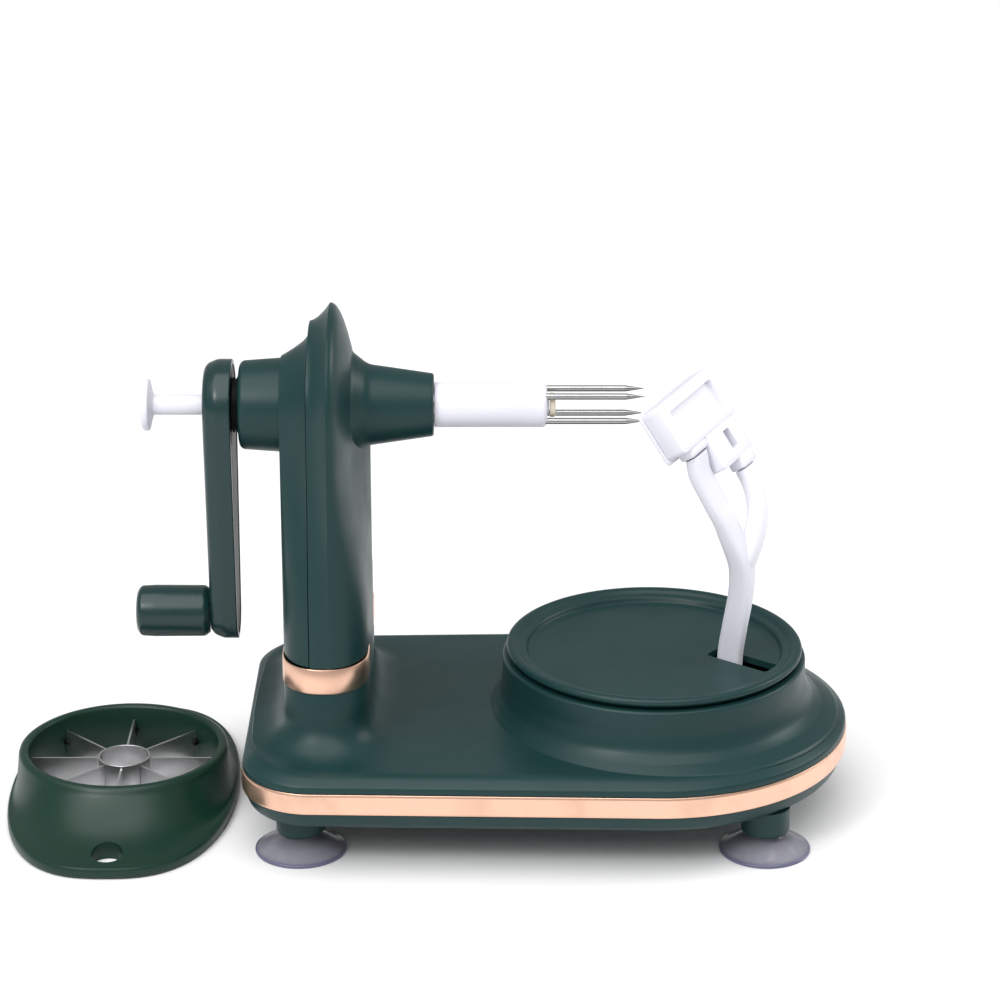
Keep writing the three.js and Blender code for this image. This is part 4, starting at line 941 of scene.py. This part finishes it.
def head_frame():
    """The blade carrier: a frame round the blade, with a bridge below it that has its own window."""
    back, face = -4.35, 4.35
    outer = lambda d: rounded_rectangle(-20.5 + d, 20.5 - d, -10.5 + d, 10.5 - d, 2.2 - d)
    inner = lambda: rounded_rectangle(-15, 16.5, -6.2, 6.2, 1.0)
    skin = Skin().grid(ring_prism(outer, inner, back, face), closed=True)
    lower = lambda d: rounded_rectangle(-4.2 + d, 18.6 - d, 9.0 + d, 25.6 - d, 1.6 - d)
    window = lambda: rounded_rectangle(6.6, 10.8, 13.2, 21.2, 0.6)
    skin.grid(ring_prism(lower, window, back + 0.4, face - 0.4), closed=True)
    tongue = lambda d: rounded_rectangle(7.2 + d, 17.4 - d, 22 + d, 30.2 - d, 1.4 - d)
    rows = [np.column_stack([tongue(d), np.full(28, t)]) for d,
        t in ((1.6, -3.9), (0.5, -3.6), (0, -3), (0, 3), (0.5, 3.6), (1.6, 3.9))]
    skin.grid(rows)
    web = rounded_rectangle(-15.4, 16.9, -6.6, 6.6, 1.0)
    skin.grid([np.column_stack([web, np.full(len(web), t)]) for t in (-2.4, -1.75)])
    shoulder = lambda d: rounded_rectangle(-16 + d, -3 - d, 8 + d, 13.9 - d, 1.4 - d)
    rows = [np.column_stack([shoulder(d), np.full(28, t)]) for d,
        t in ((1.6, -3.6), (0.5, -3.3), (0, -2.7), (0, 2.7), (0.5, 3.3), (1.6, 3.6))]
    skin.grid(rows)
    return skin.place(HEAD_WORLD)


def blade_skin():
    """The blade: an arc of 104 degrees about the swivel's axis, in two lips joined at the ends, with trunnions."""
    low, high, r = -14.5, 16.0, 5.4
    skin = Skin()

    def lip(a, b, x0, x1, lift=0.0):
        t = np.radians(np.linspace(a, b, 14))
        outer = np.stack([(r + lift) * np.sin(t), (r + lift) * np.cos(t)], -1)
        inner = np.stack([(r - 0.7) * np.sin(t), (r - 0.7) * np.cos(t)], -1)[::-1]
        ring = np.vstack([outer, inner])
        skin.grid([np.column_stack([np.full(len(ring), x), ring]) for x in (x0, x1)])

    lip(-52, -6, low, high)
    lip(4, 52, low, high, 0.25)
    lip(-8, 6, low, low + 4)
    lip(-8, 6, high - 4, high)
    for x0, x1 in ((low, low + 1.2), (high - 1.2, high)):
        ring = rounded_rectangle(-1.8, 1.8, -1.1, 5.0, 0.6)
        skin.grid([np.column_stack([np.full(28, x), ring]) for x in (x0, x1)])
    for x0, x1 in ((-17.2, low + 0.5), (high - 0.5, 18.7)):
        skin.turned([(0, x0), (1.1, x0), (1.1, x1), (0, x1)], (0, 0, 0), "X", 24)
    return skin.place(HEAD_WORLD)


def guard_skin():
    """A thin plate round the apple side of the head."""
    outer = lambda d: rounded_rectangle(-21.3 + d, 20.5 - d, -11.3 + d, 12 - d, 2.0 - d)
    inner = lambda: rounded_rectangle(-14.6, 16.1, -5.8, 5.8, 1.0)
    return Skin().grid(ring_prism(outer, inner, 4.65, 5.85, 0.4), closed=True).place(HEAD_WORLD)


class PEELER_OT_arm(bpy.types.Operator):
    """Build the peeling arm, its head, guard and blade"""

    bl_idname = "peeler.arm"
    bl_label = "Peeling arm"

    def execute(self, context):
        white = finish_of("white")
        fork_skin().make("arm_fork", white, "arm", ["peeling_arm"], "white_plastic", 60)
        head_frame().make("head_frame", white, "arm", ["blade_carrier"], "white_plastic", 40)
        guard_skin().make("head_guard", white, "arm", ["blade_guard"], "white_plastic", 40)
        blade_skin().make("blade_ground", finish_of("blade"), "blade", ["peeling_blade"], "steel", 40)
        return {"FINISHED"}


# ---------------------------------------------------------------- slicer
SLICER_MID = (SLICER_LOW + SLICER_HIGH) / 2
SLICER_HALF = (SLICER_HIGH - SLICER_LOW) / 2


def slicer_outline(t):
    """The slicer's long oval in plan, as (x, y) for angles t; its long axis lies along Y."""
    soft = lambda v, power: np.sign(v) * np.abs(v) ** power
    return np.stack([SLICER_HALF[0] * soft(np.sin(t), 0.74) * -1, SLICER_HALF[1] * soft(np.cos(t), 0.92)], -1)


def slicer_skin():
    """Frame of the slicer: from the ring's wall, over its lip, down a smooth wing to the rim, and back underneath.

    At each angle the wing falls from the lip to the rim as a soft S, over whatever width there is.
    """
    s = sizes()
    t = np.linspace(0, 2 * np.pi, 192, endpoint=False)
    edge = slicer_outline(t)
    reach = np.linalg.norm(edge, axis=1)
    way = edge / reach[:, None]
    tall = SLICER_HIGH[2]
    lip = s.bore + 4.2

    def row(radius, z):
        flat = way * np.broadcast_to(radius, reach.shape)[:, None]
        return np.column_stack([flat, np.broadcast_to(z, reach.shape)]) + (SLICER_MID[0], SLICER_MID[1], 0)

    rows = [row(s.bore, 0.8), row(s.bore, tall - 1.2), row(s.bore + 0.5, tall - 0.3), row(s.bore + 1.4, tall)]
    rows += [row(lip - 1.4, tall - 0.1), row(lip - 0.4, tall - 0.8), row(lip, tall - 2.0)]
    for u in np.linspace(0, 1, 26)[1:]:
        fall = (1 - u) ** 2.6
        radius = np.minimum(lip, reach - 2.2) + (reach - 0.6 - np.minimum(lip, reach - 2.2)) * u
        rows.append(row(radius, 4.6 + (tall - 6.6) * fall))
    rows += [row(reach - 0.1, 3.9), row(reach, 3.0), row(reach, 1.2), row(reach - 0.4, 0.4),
        row(reach - 1.4, 0.0)]
    rows += [row(s.bore + 0.8, 0.0)]
    return Skin().grid(rows, closed=True)


def slicer_blades():
    """Skins of the blades: thin bars bevelled to an edge below, from the core ring to the outer ring."""
    s = sizes()
    low, high = box_mm("slicer_blade_1")
    for i in range(8):
        angle = i * np.pi / 4
        section = np.array([(0, low[2]), (0.4, low[2] + 2.4), (0.4, high[2]), (-0.4, high[2]),
            (-0.4, low[2] + 2.4)])
        rows = [np.column_stack([np.full(5, x), section]) for x in (10.8, s.bore - 0.5)]
        turn = np.eye(4)
        way = angle + np.pi / 2
        turn[:2, :2] = [[np.cos(way), -np.sin(way)], [np.sin(way), np.cos(way)]]
        turn[:2, 3] = SLICER_MID[:2]
        yield i, Skin().grid(rows).place(turn), turn


class PEELER_OT_slicer(bpy.types.Operator):
    """Build the slicer's frame, core ring, blades and studs"""

    bl_idname = "peeler.slicer"
    bl_label = "Slicer"

    def execute(self, context):
        green = finish_of("slicer")
        piece = slicer_skin().make("slicer_body", green, "slicer", ["slicer_frame"], "slicer_plastic", 50)
        hole = Skin().turned([(0, -5), (6.2, -5), (6.2, 30), (0, 30)],
            (SLICER_MID[0], SLICER_MID[1] - 65, 0), steps=56)
        carve(piece, [cutter_from(hole)])
        settle(piece, green, "slicer", angle=50)
        low, high = box_mm("slicer_core_ring")
        ring = rounded([
            (9.8, low[2] + 1), (10.4, low[2], 0.1), (10.5, low[2] + 0.4), (10.5, high[2], 0.2),
            (9.8, high[2], 0.2), (9.8, low[2] + 1),
        ])
        core = Skin().turned(ring[:-1], (*SLICER_MID[:2], 0), steps=72, closed=True)
        core.make("slicer_core", finish_of("blade"), "slicer", ["slicer_core_ring"], "steel")
        studs = Skin()
        for i, blade, turn in slicer_blades():
            blade.make(f"slicer_edge_{i + 1}", finish_of("blade"), "slicer", [f"slicer_blade_{i + 1}"],
                "steel", 30)
            stud = Skin().turned(rounded([(0, 35.4), (1.6, 35.4, 0.7), (1.6, 38.6), (0, 38.6)]), (0, 0, 11),
                "X", 24)
            studs.points += [p + 0 for p in stud.place(turn).points]
            studs.faces += [tuple(j + studs.count for j in f) for f in stud.faces]
            studs.count += stud.count
        studs.make("slicer_studs", finish_of("black"), "slicer", slot="black_plastic")
        return {"FINISHED"}


# ---------------------------------------------------------------- what stays as packed
CARRIED = {
    "steel": ["spindle_shaft", "knob_pin", "vertical_shaft", "idler_axle", "turntable_axle",
        "arm_pivot_pin", "arm_spring",
              "base_screw_1", "base_screw_2", "base_screw_3", "base_screw_4"],
    "white": ["worm", "worm_wheel", "drive_pinion", "idler_gear", "turntable_gear"],
    "cream": ["spindle_bush_front", "spindle_bush_rear", "shaft_bush_lower", "shaft_bush_upper"],
}


class PEELER_OT_inside(bpy.types.Operator):
    """Give the gears, shafts, bushes and screws inside their finishes"""

    bl_idname = "peeler.inside"
    bl_label = "Inside"

    def execute(self, context):
        for finish, names in CARRIED.items():
            for name in names:
                slots = NODES[name].data.materials
                slots.clear()
                slots.append(finish_of(finish))
        return {"FINISHED"}


# ---------------------------------------------------------------- stage
CAMERA_AT = Vector((TABLE_X - 61.6, -1180.2, 566.0)) * MM
CAMERA_PITCH = np.radians(20.386)
CAMERA_LENS = 115.2


def soft_light(name, place, aim, side, power, tint=(1, 1, 1)):
    """A square area light at place, facing aim."""
    data = bpy.data.lights.new(name, "AREA")
    data.shape, data.size, data.energy, data.color = "SQUARE", side, power, tint
    lamp = bpy.data.objects.new(name, data)
    lamp.location = place
    lamp.rotation_euler = (Vector(aim) - Vector(place)).to_track_quat("-Z", "Y").to_euler()
    bpy.context.scene.collection.objects.link(lamp)
    return lamp


class PEELER_OT_stage(bpy.types.Operator):
    """Set the floor, the lights and the camera"""

    bl_idname = "peeler.stage"
    bl_label = "Stage"

    def execute(self, context):
        scene = bpy.context.scene
        u = np.linspace(-1, 1, 3)
        grid = np.stack(np.meshgrid(u * 6, u * 6 + 1.5, indexing="ij"), -1).reshape(-1, 2)
        mesh = bpy.data.meshes.new("floor")
        quads = [(i * 3 + j, (i + 1) * 3 + j, (i + 1) * 3 + j + 1,
            i * 3 + j + 1) for i in range(2) for j in range(2)]
        mesh.from_pydata(np.column_stack([grid, np.zeros(9)]).tolist(), [], quads)
        floor = bpy.data.objects.new("floor", mesh)
        scene.collection.objects.link(floor)
        s = Shader("pale floor")
        tone = s.mix(s.noise(3, 2.0), (0.86, 0.86, 0.87), (0.9, 0.9, 0.9))
        floor.data.materials.append(s.finish(Base_Color=tone, Roughness=0.55 + 0.1 * s.noise(30),
            Specular_IOR_Level=0.2))
        world = bpy.data.worlds.new("studio")
        world.use_nodes = True
        world.node_tree.nodes["Background"].inputs[0].default_value = (1.0, 1.0, 1.0, 1.0)
        world.node_tree.nodes["Background"].inputs[1].default_value = 0.42
        scene.world = world
        sun = bpy.data.lights.new("overhead", "SUN")
        sun.energy, sun.angle = 2.6, np.radians(70)
        lamp = bpy.data.objects.new("overhead", sun)
        lamp.rotation_euler = (np.radians(24), np.radians(-10), 0)
        scene.collection.objects.link(lamp)
        aim = (0.0, 0.0, 0.1)
        soft_light("key", (-0.7, -1.0, 1.1), aim, 0.35, 5)
        soft_light("rim", (1.1, 0.3, 0.7), aim, 0.5, 4)
        data = bpy.data.cameras.new("camera")
        data.lens, data.sensor_width, data.clip_start, data.clip_end = CAMERA_LENS, 36.0, 0.05, 50.0
        camera = bpy.data.objects.new("camera", data)
        camera.location = CAMERA_AT
        camera.rotation_euler = (np.pi / 2 - CAMERA_PITCH, 0, 0)
        scene.collection.objects.link(camera)
        scene.camera = camera
        scene.view_settings.view_transform = "Standard"
        return {"FINISHED"}


# ---------------------------------------------------------------- panel and run
class PEELER_PT_panel(bpy.types.Panel):
    """Lists the peeler's pieces, sizes and colours"""

    bl_label = "Apple peeler"
    bl_space_type = "VIEW_3D"
    bl_region_type = "UI"
    bl_category = "Peeler"

    def draw(self, context):
        for operator in OPERATORS:
            self.layout.operator(operator.bl_idname)
        for group in (context.scene.peeler_sizes, context.scene.peeler_colours):
            for name in group.__annotations__:
                self.layout.prop(group, name)


OPERATORS = [
    PEELER_OT_stage, PEELER_OT_base, PEELER_OT_column, PEELER_OT_spindle, PEELER_OT_crank,
    PEELER_OT_turntable, PEELER_OT_arm,
    PEELER_OT_slicer, PEELER_OT_inside,
]
CLASSES = [PeelerSizes, PeelerColours, *OPERATORS, PEELER_PT_panel]


def register():
    for cls in CLASSES:
        bpy.utils.register_class(cls)
    bpy.types.Scene.peeler_sizes = PointerProperty(type=PeelerSizes)
    bpy.types.Scene.peeler_colours = PointerProperty(type=PeelerColours)


def unregister():
    del bpy.types.Scene.peeler_sizes
    del bpy.types.Scene.peeler_colours
    for cls in reversed(CLASSES):
        bpy.utils.unregister_class(cls)


def main():
    register()
    for operator in OPERATORS:
        group, name = operator.bl_idname.split(".")
        if getattr(getattr(bpy.ops, group), name)() != {"FINISHED"}:
            raise RuntimeError(f"{operator.bl_idname} did not finish")
    bpy.context.view_layer.update()


if __name__ == "__main__":
    main()
